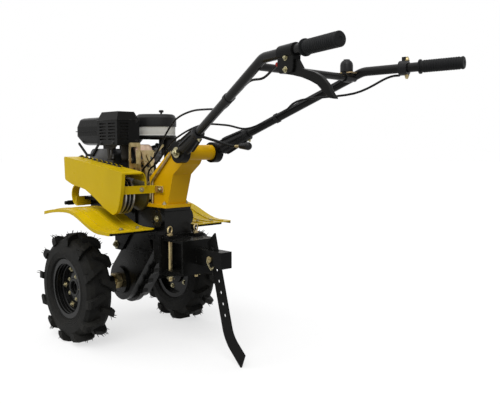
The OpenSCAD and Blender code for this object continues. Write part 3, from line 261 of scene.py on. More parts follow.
YELLOW = (0.50, 0.350, 0.002)
ORANGE = (0.58, 0.325, 0.002)
BLACK = (0.0045, 0.0045, 0.0042)
GOLD = (0.27, 0.21, 0.10, 1), (0.46, 0.38, 0.20, 1), (0.38, 0.23, 0.15, 1)
OLIVE_ZINC = (0.20, 0.18, 0.10, 1), (0.38, 0.35, 0.22, 1), (0.26, 0.20, 0.12, 1)
ROSE_ZINC = (0.44, 0.30, 0.22, 1), (0.66, 0.52, 0.38, 1), (0.60, 0.36, 0.29, 1)
HUB_BLACK = (0.092, 0.5)
LEVER_BLACK = (at((-572, 0, 0)).x, at((-385, 0, 0)).x)
FINISH = {
    "yellow": paint("yellow_enamel", YELLOW, 0.30, 0.07, 0.012, 0.25, edge=0.0016),
    "column": paint("column_enamel", ORANGE, 0.34, 0.09, 0.01, 0.25, edge=0.0016),
    "black": paint("black_enamel", BLACK, 0.24, 0.055, 0.010),
    "rim": paint("rim_enamel", BLACK, 0.17, 0.13, 0.01, 0.10),
    "tube": paint("black_tube_enamel", BLACK, 0.22, 0.13, 0.012, 0.12),
    "hot_black": paint("heatproof_black", BLACK, 0.30, 0.07, 0.008),
    "tank": paint("tank_black", (0.004, 0.004, 0.0036), 0.20, 0.06, 0.004, 0.05),
    "olive": casting("olive_casting", (0.058, 0.050, 0.014), 0.38, 0.0, 0.2, 0.25),
    "gear": casting("black_casting", (0.004, 0.004, 0.0034), 0.24, 0.0, 0.15, 0.22),
    "alloy": casting("cast_alloy", (0.085, 0.086, 0.090), 0.40, 0.75),
    "fin": casting("fin_alloy", (0.040, 0.041, 0.044), 0.42, 0.7),
    "soot": casting("soot_iron", (0.020, 0.018, 0.016), 0.55, 0.2),
    "zinc": zinc("yellow_zinc", *GOLD),
    "bolt": zinc("olive_zinc", *OLIVE_ZINC),
    "rose": zinc("rose_zinc", *ROSE_ZINC),
    "hub": zinc("hub_zinc", *GOLD, HUB_BLACK),
    "lever": zinc("lever_zinc", *GOLD, LEVER_BLACK, "X"),
    "iron": turned_iron("turned_iron", (0.40, 0.39, 0.36)),
    "plastic": plastic("black_plastic", (0.007, 0.007, 0.0075), 0.40),
    "pale": plastic("pale_plastic", (0.52, 0.52, 0.49), 0.5),
    "red": plastic("red_plastic", (0.30, 0.016, 0.012), 0.4),
    "tyre": rubber("tyre_rubber", (0.0062, 0.0062, 0.0056), 0.66, 260.0, 0.35, 0.018),
    "grip": rubber("grip_rubber", (0.008, 0.0085, 0.009), 0.56, 700.0, 0.25, 0.01),
    "cable": rubber("cable_sheath", (0.005, 0.005, 0.005), 0.46, 500.0, 0.10, 0.0),
}
NODE_FINISH = {
    "yellow": ["fender_front_bracket", "fender_left", "fender_right", "belt_cover", "cover_strap"],
    "column": ["column"],
    "black": ["engine_bed", "front_bumper", "fender_rear_brackets", "hitch_bracket", "hitch_frame",
              "drag_bar", "handle_clamps", "clutch_bracket", "clutch_lever"],
    "rim": ["rim_left", "rim_right"],
    "tube": ["handlebar"],
    "hot_black": ["silencer_guard"],
    "tank": ["fuel_tank"],
    "olive": ["input_housing"],
    "gear": ["gearbox_case"],
    "alloy": ["crankcase", "carburettor"],
    "fin": ["cylinder_barrel"],
    "soot": ["silencer"],
    "zinc": ["control_plate", "hitch_pins", "drag_pin"],
    "hub": ["hub_left", "hub_right"],
    "lever": ["gear_lever"],
    "iron": ["engine_pulley", "gearbox_pulley"],
    "plastic": ["tank_cap", "air_cleaner_lid", "air_cleaner_base", "gear_grip", "throttle_lever",
                "stop_switch", "fan_cowl", "recoil_starter"],
    "pale": ["air_cleaner_band"],
    "tyre": ["tyre_left", "tyre_right"],
    "grip": ["grips"],
    "cable": ["drive_belts", "clutch_cable", "clutch_cable_span", "throttle_cable", "throttle_cable_span"],
}
for finish, names in NODE_FINISH.items():
    for name in names:
        nodes[name].data.materials.clear()
        nodes[name].data.materials.append(FINISH[finish])


# Shapes

SHARP = math.radians(32)


class Shape:
    """One joined mesh, gathered from skins over rings of points, in the axle's millimetres."""

    def __init__(self):
        self.points, self.faces = [], []

    def skin(self, rings, closed=False):
        start, size, count = len(self.points), len(rings[0]), len(rings)
        for ring in rings:
            self.points.extend(ring)
        for i in range(count if closed else count - 1):
            a, b = start + i * size, start + (i + 1) % count * size
            for k in range(size):
                j = (k + 1) % size
                self.faces.append((a + k, a + j, b + j, b + k))
        if not closed:
            self.faces.append(tuple(range(start + size - 1, start - 1, -1)))
            self.faces.append(tuple(start + (count - 1) * size + k for k in range(size)))

    def lathe(self, origin, axis, profile, steps=28, closed=False):
        """Turns a profile of radius and height about an axis."""
        origin, axis = Vector(origin), Vector(axis).normalized()
        u = axis.cross(Z if abs(axis.z) < 0.9 else X).normalized()
        v = axis.cross(u)
        turns = [math.tau * k / steps for k in range(steps)]
        self.skin([[origin + axis * h + (u * math.cos(t) + v * math.sin(t)) * r for t in turns]
                   for r, h in profile], closed)

    def tube(self, path, radius, sides=8, closed=False):
        """Round bar along a path; radius is one size, or one for each point."""
        path = [Vector(p) for p in path]
        count = len(path)
        radii = radius if isinstance(radius, list) else [radius] * count
        rings, side = [], None
        for i, p in enumerate(path):
            ahead = path[(i + 1) % count] if closed or i < count - 1 else p
            behind = path[i - 1] if closed or i > 0 else p
            along = (ahead - behind).normalized()
            if side is None:
                side = along.cross(Z if abs(along.z) < 0.9 else X)
            side = (side - along * side.dot(along)).normalized()
            other = along.cross(side)
            turns = [math.tau * k / sides for k in range(sides)]
            rings.append([p + (side * math.cos(t) + other * math.sin(t)) * radii[i] for t in turns])
        self.skin(rings, closed)

    def prism(self, outline, origin, u, v, depth):
        """Flat outline in the plane of u and v, drawn out by depth along their normal."""
        origin, u, v = Vector(origin), Vector(u).normalized(), Vector(v).normalized()
        w = u.cross(v)
        self.skin([[origin + u * a + v * b + w * d for a, b in outline] for d in (0, depth)])

    def plate(self, outline, holes, origin, u, v, depth):
        """Flat plate with holes, centred on the plane of u and v."""
        origin, u, v = Vector(origin), Vector(u), Vector(v)
        w = u.cross(v)
        loops = [outline] + holes
        start, total = len(self.points), sum(len(loop) for loop in loops)
        for d in (-depth / 2, depth / 2):
            self.points.extend(origin + u * a + v * b + w * d for loop in loops for a, b in loop)
        for t in tessellate_polygon([[Vector((a, b, 0)) for a, b in loop] for loop in loops]):
            self.faces.append(tuple(start + i for i in t))
            self.faces.append(tuple(start + total + i for i in t))
        first = start
        for loop in loops:
            for i in range(len(loop)):
                a, b = first + i, first + (i + 1) % len(loop)
                self.faces.append((a, b, b + total, a + total))
            first += len(loop)

    def bolt(self, origin, axis, r=8.0, h=6.0, washer=1.55, dome=0.0):
        """Hexagon head on a washer."""
        axis = Vector(axis).normalized()
        washer_t = h * 0.25
        if washer:
            rim = r * washer
            ring = [(rim * 0.96, -0.5), (rim, 0), (rim, washer_t * 0.7), (rim * 0.95, washer_t)]
            self.lathe(origin, axis, ring, 24)
        head = Vector(origin) + axis * (washer_t if washer else 0)
        self.lathe(head, axis, [(r, -0.3), (r, h * 0.78), (r * 0.86, h)], 6)
        if dome:
            self.lathe(head + axis * h, axis, [(dome, -0.5), (dome, h * 0.5), (dome * 0.8, h * 0.65)], 14)

    def make(self, name, finish, body, slot, bevel=0.0):
        mesh = bpy.data.meshes.new(name)
        mesh.from_pydata([at(p) for p in self.points], [], self.faces)
        solid = bmesh.new()
        solid.from_mesh(mesh)
        bmesh.ops.recalc_face_normals(solid, faces=solid.faces)
        solid.to_mesh(mesh)
        solid.free()
        mesh.shade_smooth()
        mesh.set_sharp_from_angle(angle=SHARP)
        mesh.materials.append(FINISH[finish])
        piece = bpy.data.objects.new(name, mesh)
        bpy.context.scene.collection.objects.link(piece)
        if bevel:
            modifier = piece.modifiers.new("bevel", "BEVEL")
            modifier.width, modifier.segments, modifier.limit_method = bevel * MM, 2, "ANGLE"
        if body:
            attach(piece, body)
        return piece


def smooth(points, steps):
    """A smooth route through given points."""
    points = [Vector(p) for p in points]
    last = len(points) - 1
    route = []
    for i in range(last):
        a, b, c, d = points[max(i - 1, 0)], points[i], points[i + 1], points[min(i + 2, last)]
        for k in range(steps):
            s = k / steps
            route.append(b + (c - a) / 2 * s + (a - 2.5 * b + 2 * c - d / 2) * s * s
                         + (1.5 * (b - c) + (d - a) / 2) * s ** 3)
    return route + [points[last]]


def polar(r, degrees):
    t = math.radians(degrees)
    return r * math.cos(t), r * math.sin(t)


def rounded(width, height, r, steps=5):
    """Points round a rectangle with rounded corners."""
    points = []
    for sx, sy, start in ((1, 1, 0), (-1, 1, 90), (-1, -1, 180), (1, -1, 270)):
        for k in range(steps + 1):
            a, b = polar(r, start + 90 * k / steps)
            points.append((sx * (width / 2 - r) + a, sy * (height / 2 - r) + b))
    return points


def flat_bar(a, b, width):
    """Outline of a bar with round ends between two flat points."""
    a, b = Vector(a), Vector(b)
    turn = math.degrees(math.atan2(b.y - a.y, b.x - a.x))
    ends = []
    for middle, start in ((b, -90), (a, 90)):
        for k in range(9):
            p, q = polar(width / 2, turn + start + 22.5 * k)
            ends.append((middle.x + p, middle.y + q))
    return ends


# Camera and cables

EYE = (-2191.0, 1417.0, 745.0)
HEADING, PITCH = -43.73, -4.9
FOCAL_SHARE = 627.3 / 500.0


def make_camera():
    data = bpy.data.cameras.new("camera")
    data.sensor_width = 36.0
    data.lens = data.sensor_width * FOCAL_SHARE
    camera = bpy.data.objects.new("camera", data)
    level, lift = polar(1.0, PITCH)
    forward = Vector(polar(level, HEADING) + (lift,))
    camera.location = at(EYE)
    camera.rotation_euler = forward.to_track_quat("-Z", "Y").to_euler()
    bpy.context.scene.collection.objects.link(camera)
    bpy.context.scene.camera = camera


CROSS = Vector((-440.0, 0.0, 730.0))
FOOT = CROSS + Vector((0, 75.3, 0))
BEND = CROSS + Vector((-552.0, 221.0, 254.0))
END = BEND + Vector((-304.0, 63.0, 5.0))
BAR = (BEND - FOOT).normalized()
HAND = (END - BEND).normalized()
FORWARD = -Vector((HAND.x, HAND.y, 0)).normalized()
INNER = (BAR * BAR.y - Y).normalized()
BAR_R, CABLE_R, FIT = 14.0, 3.5, 0.3
CLUTCH_CLIP, THROTTLE_CLIP = 0.62, 0.45
UPPER = (Z - BAR * BAR.z).normalized()
PORT_RUN, PLATE_DROP = 40.0, 60.0
SHELF_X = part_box("control_plate")[0].x / MM - AXLE.x / MM + 13.0
SHELF_Z = 594.68


def beside(share, gap):
    """Point beside the left tube, on its inner side."""
    return mix(FOOT, BEND, share) + INNER * (BAR_R + CABLE_R + FIT + gap)


def port(back, length, drop):
    return END - HAND * back + FORWARD * (length / 2 + 2 * FIT) - Z * drop


CLUTCH_BACK, THROTTLE_BACK = 184.0, 176.0
CLUTCH_PORT, THROTTLE_PORT = port(CLUTCH_BACK, 34, 26.6), flip(port(THROTTLE_BACK, 26, 21.12))
CLUTCH_SHELF, THROTTLE_SHELF = Vector((SHELF_X, 42, SHELF_Z)), Vector((SHELF_X, 10.5, SHELF_Z))


def make_cables():
    """Sheathed cables from the controls to the control plate, along the routes of their solids."""
    clutch_exit, throttle_exit = beside(CLUTCH_CLIP, 0), flip(beside(THROTTLE_CLIP, 0))
    clutch = [CLUTCH_PORT, CLUTCH_PORT + FORWARD * PORT_RUN, BEND + Vector((24, -26, -48)), beside(0.8, 6),
              beside(0.7, 1), clutch_exit, clutch_exit - BAR * PORT_RUN + INNER * 4, (-700, 116, 866),
              (-600, 85, 872), (-480, 58, 872), (-370, 40, 850), (-300, 34, 800), (-235, 38, 720),
              CLUTCH_SHELF + Z * PLATE_DROP, CLUTCH_SHELF]
    throttle = [THROTTLE_PORT, THROTTLE_PORT + flip(FORWARD) * PORT_RUN - Z * 5, (-985, -185, 915),
                flip(beside(0.66, 22)), flip(beside(0.54, 5)), throttle_exit,
                throttle_exit - flip(BAR) * PORT_RUN + flip(INNER) * 4, (-600, -82, 812), (-530, -52, 826),
                (-430, -18, 826), (-300, 0, 775), (-205, 4, 695), THROTTLE_SHELF + Z * PLATE_DROP,
                THROTTLE_SHELF]
    for name, points, clip in (("clutch", clutch, clutch_exit), ("throttle", throttle, throttle_exit)):
        route = smooth(points, 6)
        shape = Shape()
        shape.tube(route, CABLE_R, 10)
        piece = shape.make(name + "_cable_sheath", "cable", None, "rubber")
        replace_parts(piece, name + "_cable", name + "_cable_span")
        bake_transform(piece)


# Wheels

RIM_FACE, RIM_BACK, RIM_PCR, RIM_BOLTS = 257.0, 228.0, 74.0, 5
HUB_PCR, HUB_RAISE = 46.0, 3.0
RIM_EDGES, RIM_STEPS = (208.0, 292.0), (268.0, 281.0)
VALVE_R, VALVE_TURN = 90.0, 152.0
RIM_SIDES, WALL_SIDES = 64, 72
# Profiles of radius and height over the face that carries them
DISH = [(97.2, -21), (96, -12), (90, -3), (84, 0), (24.6, 0), (24.6, -4), (83, -4), (88, -7), (93, -14),
        (94, -21)]
BOSS = [(25.5, -0.5), (25.5, 4), (27, 5), (34, 5), (36, 3.2), (56, 3.2), (59, 1.5), (60, -0.5)]
SHOULDER = [(86, -0.5), (87, 3), (90, 5), (95, 5), (97, 3), (97.4, -0.5)]
EDGE_BEAD = [(110, -1.5), (113.5, 0.6), (116.5, -1.5), (115.4, -3.6)]
STEP_BEAD = [(97.3, -2.5), (94.6, -1), (94.6, 1), (97.3, 2.5)]
VALVE = [(5, 0), (5, 6), (3.6, 8), (3.6, 20), (4.4, 21), (4.4, 28), (3.6, 29)]
# Radius, distance from the tyre's middle and height of the rings on its walls
WALL_RINGS = ((124, 49.4, 1.4), (131, 50.6, 1.0), (139, 52.0, 1.4))


def wheel_point(side, r, degrees, y):
    x, z = polar(r, degrees)
    return Vector((x, side * y, AXLE_Z - z))


def make_rim_bolts(name, side, out):
    bolts = Shape()
    for i in range(RIM_BOLTS):
        degrees = 360 / RIM_BOLTS * i
        between = degrees + 180 / RIM_BOLTS
        bolts.bolt(wheel_point(side, RIM_PCR, degrees, RIM_FACE), out, 7.5, 5, 1.6, 3.2)
        bolts.bolt(wheel_point(side, RIM_PCR, degrees, RIM_BACK), -out, 7.5, 6, 1.5)
        bolts.bolt(wheel_point(side, HUB_PCR, between, RIM_FACE + HUB_RAISE), out, 5, 3.2, 1.6)
    bolts.make("rim_bolts_" + name, "bolt", "wheel_" + name, "zinc")


def make_rim_press(name, side, out, centre):
    """Pressed dish over the rim's disc, with its beads and valve."""
    press = Shape()
    for profile in (DISH, BOSS, SHOULDER):
        press.lathe(centre + out * RIM_FACE, out, profile, RIM_SIDES, True)
    for edge in RIM_EDGES:
        bulge = 1 if edge > TRACK else -1
        press.lathe(centre + out * edge, out * bulge, EDGE_BEAD, RIM_SIDES, True)
    for depth in RIM_STEPS:
        press.lathe(centre + out * depth, out, STEP_BEAD, RIM_SIDES, True)
    press.lathe(wheel_point(side, VALVE_R, VALVE_TURN, RIM_FACE), out, VALVE, 14)
    press.make("rim_press_" + name, "rim", "wheel_" + name, "black_paint")


def make_tyre_rings(name, out, centre):
    walls = Shape()
    for r, y, t in WALL_RINGS:
        profile = [(r - t * 1.6, -0.8), (r, t), (r + t * 1.6, -0.8)]
        for s in (-1, 1):
            walls.lathe(centre + out * (TRACK + s * y), out * s, profile, WALL_SIDES, True)
    walls.make("tyre_rings_" + name, "tyre", "wheel_" + name, "tyre")


def make_wheel(name, side):
    out, centre = Y * side, Vector((0, 0, AXLE_Z))
    make_rim_bolts(name, side, out)
    make_rim_press(name, side, out, centre)
    make_tyre_rings(name, out, centre)
    make_whiskers(name, side)


LUG_EDGE_R, WHISKERS = 196.0, 130
WHISKER_FLOOR, WHISKER_REACH, WHISKER_ROOT = 2.0, 66.0, 1.5
WHISKER_RADII = [1.6, 1.1, 0.5]
TREAD_HALF = 57.0


def lug_corners(name):
    """Corners of a tyre's lugs, in the axle's millimetres."""
    tyre = nodes["tyre_" + name]
    corners = set()
    for vertex in tyre.data.vertices:
        p = tyre.matrix_world @ vertex.co
        x, y, z = (p.x - AXLE.x) / MM, p.y / MM, p.z / MM
        if math.hypot(x, z - AXLE_Z) > LUG_EDGE_R:
            corners.add((round(x, 1), round(y, 1), round(z, 1)))
    return [Vector(p) for p in sorted(corners)]


def make_whiskers(name, side):
    """Thin mould vents left standing on the lugs' corners."""
    hairs = Shape()
    corners = lug_corners(name)
    for _ in range(WHISKERS):
        root = seed.choice(corners)
        across = (root.y - side * TRACK) / TREAD_HALF
        out = Vector((root.x, 0, root.z - AXLE_Z)).normalized()
        lean = out * seed.uniform(0.4, 1.0) + Y * across * seed.uniform(0.2, 1.3)
        lean += Vector([seed.uniform(-0.3, 0.3) for _ in range(3)])
        start = root - out * WHISKER_ROOT
        tip = root + lean.normalized() * seed.uniform(9, 17)
        if tip.z > WHISKER_FLOOR and abs(tip.y) < TRACK + WHISKER_REACH:
            bow = mix(start, tip, 0.6) + X * seed.uniform(-0.8, 0.8)
            hairs.tube([start, bow, tip], WHISKER_RADII, 4)
    hairs.make("tyre_whiskers_" + name, "tyre", "wheel_" + name, "tyre")


# Chassis

SEAM_BOLTS, SEAM_PROUD, SEAM_HALF = 5, 6.5, 12
SEAM_RUN, SEAM_TOP, SEAM_RISE = -200.0, 436.0, 226.0
SEAM_R_LOW, SEAM_R_HIGH = 82.0, 74.0
COVER_PLATE, COVER_PLATE_R = Vector((-286, 73, 485)), 26
STRAP_Z = 592


def make_seam_bolts(dark):
    """Bolts along the lower seam of the gearbox."""
    turn = math.degrees(math.atan2(SEAM_RISE, SEAM_RUN)) + 90
    for i in range(SEAM_BOLTS):
        share = (i + 0.5) / SEAM_BOLTS
        a, b = polar(mix(SEAM_R_LOW, SEAM_R_HIGH, share) + SEAM_PROUD, turn)
        x, z = mix(0, SEAM_RUN, share) + a, mix(AXLE_Z, SEAM_TOP, share) + b
        for side in (-1, 1):
            dark.bolt((x, side * SEAM_HALF, z), Y * side, 7, 5)


def make_chassis_bolts():
    bolts, dark = Shape(), Shape()
    make_seam_bolts(dark)
    for side in (-1, 1):
        bolts.bolt((2, side * 68, 358), Y * side, 11, 8, 1.5, 5)
        for x in (-306, -192):
            bolts.bolt((x, side * 51, 537), Z, 7, 6, 1.1, 3.5)
        plate = on_side(COVER_PLATE, side)
        bolts.bolt(plate, Y * side, 8, 5, 1.6)
        for degrees in (90, 210, 330):
            a, b = polar(COVER_PLATE_R, degrees)
            dark.bolt(plate + Vector((a, 0, b)), Y * side, 4.5, 3.5, 1.4)
        for y in (140, 210):
            bolts.bolt((-262, side * y, 454.5), Z, 6.5, 5, 1.5)
        for x in (150, 185):
            bolts.bolt((x, side * 118, 491), Z, 5.5, 4, 1.4)
        for z in (312, 398):
            dark.bolt((-332, side * 30, z), -X, 8, 6)
        for x, z in ((-120, 500), (-40, 510), (40, 510)):
            dark.bolt((x, side * 68, z), Y * side, 7, 5, 1.5)
    bolts.bolt((-239, 104, STRAP_Z), -X, 6, 4.5, 1.6)
    bolts.bolt((-222, 193, STRAP_Z), -Y, 5.5, 4)
    bolts.bolt((-272, 48, STRAP_Z), Y, 6, 4.5, 1.5)
    bolts.make("chassis_bolts", "bolt", "chassis", "zinc")
    dark.make("casting_bolts", "black", "chassis", "black_paint")


def make_strap_highlight_plate():
    """Bright plate on the column end of the cover's strap, in rose zinc: a painted highlight for the pinkish
    shine on the strap's end.
    """
    plate = Shape()
    outline = [(-268 + a, STRAP_Z + b) for a, b in rounded(50, 24, 5)]
    plate.prism(outline, (0, 48.2, 0), X, Z, 2.4)
    # Rose zinc sheet laid on the strap as a painted highlight.
    plate.make("strap_highlight_plate", "rose", "chassis", "zinc", 0.6)


PIN_HEAD = Vector((-533, 30, 359))
PIN_RING_R, PIN_WIRE = 7.0, 1.4
LINK_L, LINK_W, LINK_WIRE = 4.6, 2.6, 0.9
CHAIN = [PIN_HEAD + Vector((0, 4, -14)), (-539, 33, 336), (-547, 31, 326), (-553, 27, 333)]
CLIP = [(-14, 5, 0), (0, 3, 0), (12, 4, 0), (20, 0, 2), (17, -6, 4), (8, -9, 2), (-2, -8.5, 0), (-12, -9, 0)]


def make_pins():
    """Clips and chain of the hitch pins and of the drag bar's pin."""
    shape = Shape()
    circle = [polar(PIN_RING_R, 18 * k) for k in range(20)]
    shape.tube([PIN_HEAD + Vector((a, 3 + 0.25 * b, b - PIN_RING_R)) for a, b in circle], PIN_WIRE, 6, True)
    route = smooth(CHAIN, 3)
    for i, (a, b) in enumerate(zip(route, route[1:])):
        along = (b - a).normalized()
        side = along.cross(Z if i % 2 else Y).normalized()
        oval = [polar(LINK_W, 36 * k) for k in range(10)]
        loop = [(a + b) / 2 + along * p * LINK_L / LINK_W + side * q for p, q in oval]
        shape.tube(loop, LINK_WIRE, 5, True)
    for side in (-1, 1):
        foot = Vector((-350, side * 60, 268))
        shape.tube(smooth([foot + Vector(p) for p in CLIP], 4), 1.5, 6)
        shape.lathe(foot + Z * 10, -Z, [(7.2, 0), (11, 0.4), (11, 2.4), (7.2, 2.8)], 24)
    shape.make("pin_clips", "bolt", "chassis", "zinc")


DRAG_LEAN, DRAG_AT = math.radians(15.0), Vector((-605.0, 0.0, 90.92))
DRAG_HALF, DRAG_T, DRAG_TOP, DRAG_HEAD = 23.0, 7.0, 365.0, 26.0
HOLE_R, HOLE_FIRST, HOLE_PITCH, HOLES = 6.5, 77.54, 40.0, 7
FOOT_START, FOOT_BEND_R, FOOT_TURN = 34.9, 130.0, 32.0
FOOT_REAR, FOOT_FRONT, FOOT_STEPS = 50.0, 68.0, 8


def foot_edge(r, tail):
    """Edge of the drag bar's swept foot, from its bend to its cut end."""
    points = []
    for k in range(FOOT_STEPS + 1):
        a, b = polar(r, FOOT_TURN * k / FOOT_STEPS)
        points.append((a - FOOT_BEND_R, FOOT_START - b))
    down, back = polar(tail, FOOT_TURN)
    points.append((points[-1][0] - back, points[-1][1] - down))
    return points


def make_drag_bar():
    """Drilled flat bar with a slanted head and a swept-back foot."""
    bar = Shape()
    along = Vector((math.sin(DRAG_LEAN), 0, math.cos(DRAG_LEAN)))
    across = Vector((math.cos(DRAG_LEAN), 0, -math.sin(DRAG_LEAN)))
    rear = foot_edge(FOOT_BEND_R - DRAG_HALF, FOOT_REAR)
    front = foot_edge(FOOT_BEND_R + DRAG_HALF, FOOT_FRONT)
    outline = [(DRAG_HALF, DRAG_TOP - DRAG_HEAD), (-DRAG_HALF, DRAG_TOP)] + rear + list(reversed(front))
    circle = [polar(HOLE_R, 15 * k) for k in range(24)]
    holes = [[(a, b + HOLE_FIRST + HOLE_PITCH * i) for a, b in circle] for i in range(HOLES)]
    bar.plate(outline, holes, DRAG_AT, across, along, DRAG_T)
    piece = bar.make("drag_bar_plate", "black", "drag_bar_body", "black_paint")
    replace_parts(piece, "drag_bar")


# Engine

CRANK = Vector((88.0, 0.0, 651.0))
LEAN = 20.0
BORE = Vector((-math.cos(math.radians(LEAN)), 0, math.sin(math.radians(LEAN))))
BORE_UP = Vector((BORE.z, 0, -BORE.x))


def on_cylinder(along, up, y):
    return CRANK + BORE * along + BORE_UP * up + Y * y


# Distance along the bore, width and corner radius of each ring of the rocker lid
LID_RINGS = ((198, 79.4, 13), (201, 81, 14), (209, 80, 14), (213, 74, 12), (214.5, 62, 9))


def make_rocker_lid():
    """Pressed lid over the rocker box."""
    lid = Shape()
    lid.skin([[on_cylinder(along, a, b) for a, b in rounded(w, w, r)] for along, w, r in LID_RINGS])
    lid.make("rocker_lid", "rose", "chassis", "zinc")


CLEANER_FROM, CLEANER_TO, CLEANER_R = (-76.0, -105.0), (-45.0, -72.5), 60.0


# Height and growth over the oval's radius of each ring, from below
CLEANER_LID = ((832, 0), (833, 1.2), (862, 1.2), (866, 0.4), (868, 0.4), (869, -1), (877, -5), (882, -13))
CLEANER_BAND = ((796, -3), (800, -3), (801, -3.6), (803, -3), (829, -3), (832, -3))
CLEANER_PAN = ((781, -16), (784, -12), (789, 0.6), (796, 0.6))
CLEANER_KNOB = [(4, -1), (4, 7), (9.5, 9), (10, 13), (9, 17), (4, 18)]


def cleaner_ring(z, grow):
    return [Vector((x, y, z)) for x, y in flat_bar(CLEANER_FROM, CLEANER_TO, 2 * (CLEANER_R + grow))]


def make_air_cleaner():
    """Oval lid, pale band and pan of the air cleaner, drawn out towards the intake."""
    lid, band, pan = Shape(), Shape(), Shape()
    for shape, rings in ((lid, CLEANER_LID), (band, CLEANER_BAND), (pan, CLEANER_PAN)):
        shape.skin([cleaner_ring(z, grow) for z, grow in rings])
    lid.lathe(Vector((*CLEANER_FROM, CLEANER_LID[-1][0])), Z, CLEANER_KNOB, 20)
    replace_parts(lid.make("cleaner_lid", "plastic", "chassis", "black_plastic"), "air_cleaner_lid")
    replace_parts(band.make("cleaner_band", "pale", "chassis", "pale_plastic"), "air_cleaner_band")
    pan.make("cleaner_pan", "plastic", "chassis", "black_plastic")


def make_exhaust_flange():
    flange, nuts = Shape(), Shape()
    port_at = Vector((-69.9, 46, 708.5))
    outline = flat_bar((port_at.x - 20, port_at.z - 8), (port_at.x + 20, port_at.z + 8), 30)
    flange.prism(outline, (0, 52, 0), X, Z, 6)
    for s in (-1, 1):
        nuts.bolt(port_at + Vector((20 * s, 6, 8 * s)), Y, 5.5, 6, 1.4, 3)
    flange.make("exhaust_flange", "soot", "chassis", "grey_iron", 0.8)
    nuts.make("exhaust_nuts", "bolt", "chassis", "zinc")


def make_control_wing():
    """Windowed upper part of the control plate, lapped on its edge."""
    wing = Shape()
    middle_y, middle_z = 66.0, 706.0
    outline = [(middle_y + a, middle_z + b) for a, b in rounded(52, 120, 6)]
    window = [(middle_y + 3 + a, middle_z + 12 + b) for a, b in rounded(30, 64, 5)]
    slots = [[(y + a, 662 + b) for a, b in rounded(7, 16, 3.4)] for y in (54, 70)]
    wing.plate(outline, [window] + slots, (-138.3, 0, 0), Y, Z, 2.4)
    wing.make("control_wing", "zinc", "chassis", "zinc")


GUARD_LOW, GUARD_HIGH = (-118.0, 30.0), (28.0, 130.0)
# Height and radius of the seams under the chamfered top and round the lower edge
GUARD_SEAMS = ((853.0, 2.0), (758.5, 1.6))


def make_guard_ledge():
    """Folded seams round the silencer guard."""
    seam = Shape()
    wide, deep = GUARD_HIGH[0] - GUARD_LOW[0], GUARD_HIGH[1] - GUARD_LOW[1]
    x, y = ((a + b) / 2 for a, b in zip(GUARD_LOW, GUARD_HIGH))
    for z, r in GUARD_SEAMS:
        seam.tube([(x + a, y + b, z) for a, b in rounded(wide, deep, 2, 3)], r, 8, True)
    seam.make("guard_seams", "hot_black", "chassis", "black_paint")


def make_silencer_stay():
    """Bent stay that carries the silencer and its guard on the crankcase."""
    stay = Shape()
    outline = [(-64, 762), (22, 762), (26, 752), (10, 742), (6, 706), (-10, 700), (-24, 712), (-30, 742),
               (-58, 752)]
    slot_hole = [(-14 + a, 730 + b) for a, b in rounded(12, 26, 5)]
    stay.plate(outline, [slot_hole], (0, 96, 0), X, Z, 4)
    foot = [(80, 704), (98, 704), (98, 698), (76, 698)]
    stay.plate(foot, [], (-2, 0, 0), Y, Z, 26)
    stay.make("silencer_stay", "soot", "chassis", "grey_iron", 0.8)


def make_tank_struts():
    struts = Shape()
    for a, b in (((262, 764), (196, 716)), ((98, 764), (152, 716))):
        struts.prism(flat_bar(a, b, 11), (0, 84, 0), X, Z, 5)
    struts.prism(flat_bar((150, 716), (200, 716), 11), (0, 85, 0), X, Z, 4)
    struts.make("tank_struts", "black", "chassis", "black_paint", 0.8)


COVER_REAR, COVER_TOP, COVER_SLOPE = -259.0, 659.0, 53.0 / 431.0
# Place along the cover and depth of the rolled edge's wall
FLANGE_RUN = ((-257, 56), (-250, 56), (-247, 38), (0, 38), (162, 38))
LOUVRES, LOUVRE_W, LOUVRE_H, LOUVRE_L, LOUVRE_Y = 9, 15.0, 7.0, 27.0, 128
LOUVRE_FROM, LOUVRE_TO = -128, 158


def cover_top(x):
    return COVER_TOP + (x - COVER_REAR) * COVER_SLOPE


def make_cover_flange():
    """Inner edge of the belt cover's top, rolled down along the engine."""
    flange = Shape()
    roll = [(116, 0), (109, -3), (102, -10), (97, -22), (95, -36)]
    inside = [(98, -36), (99.8, -23), (104, -12.5), (110.4, -6), (116, -3)]
    rings = []
    for x, wall in FLANGE_RUN:
        top = cover_top(x) - 0.4
        section = roll + [(95, -wall), (98, -wall)] + inside
        rings.append([Vector((x, y, top + drop)) for y, drop in section])
    flange.skin(rings)
    flange.make("cover_flange", "yellow", "chassis", "yellow_paint")


def make_cover_louvres():
    """Pressed scoops in a row along the belt cover's top, with black arches under their open sides as painted
    shade in the openings.
    """
    scoops, shade_arches = Shape(), Shape()
    along = Vector((1, 0, COVER_SLOPE)).normalized()
    up = Vector((-along.z, 0, along.x))
    for i in range(LOUVRES):
        x = mix(LOUVRE_FROM, LOUVRE_TO, i / (LOUVRES - 1))
        foot = Vector((x, LOUVRE_Y, cover_top(x)))
        rings = []
        for k in range(7):
            middle = foot + along * mix(-LOUVRE_L / 2, LOUVRE_L / 2, k / 6)
            rise = LOUVRE_H * math.sin(math.pi * mix(0.08, 0.92, k / 6))
            turns = [math.pi * j / 8 for j in range(9)]
            arch = [(LOUVRE_W / 2 * math.cos(t), rise * math.sin(t)) for t in turns]
            rings.append([middle + Y * a + up * (b - 0.6) for a, b in arch])
        # Black arch under each scoop: painted shade in place of the dark inside of an open louvre.
        shade_arches.skin(rings)
        hoods = [list(reversed(ring[4:])) for ring in rings]
        scoops.skin([[p + up * 0.9 - Y * 1.2 for p in hood] + [p + up * 0.2 - Y * 1.2 for p in reversed(hood)]
                     for hood in hoods])
    shade_arches.make("cover_louvre_shade_arches", "black", "chassis", "black_paint")
    scoops.make("cover_louvres", "yellow", "chassis", "yellow_paint")


OIL_CAP = (20, -78, 590)


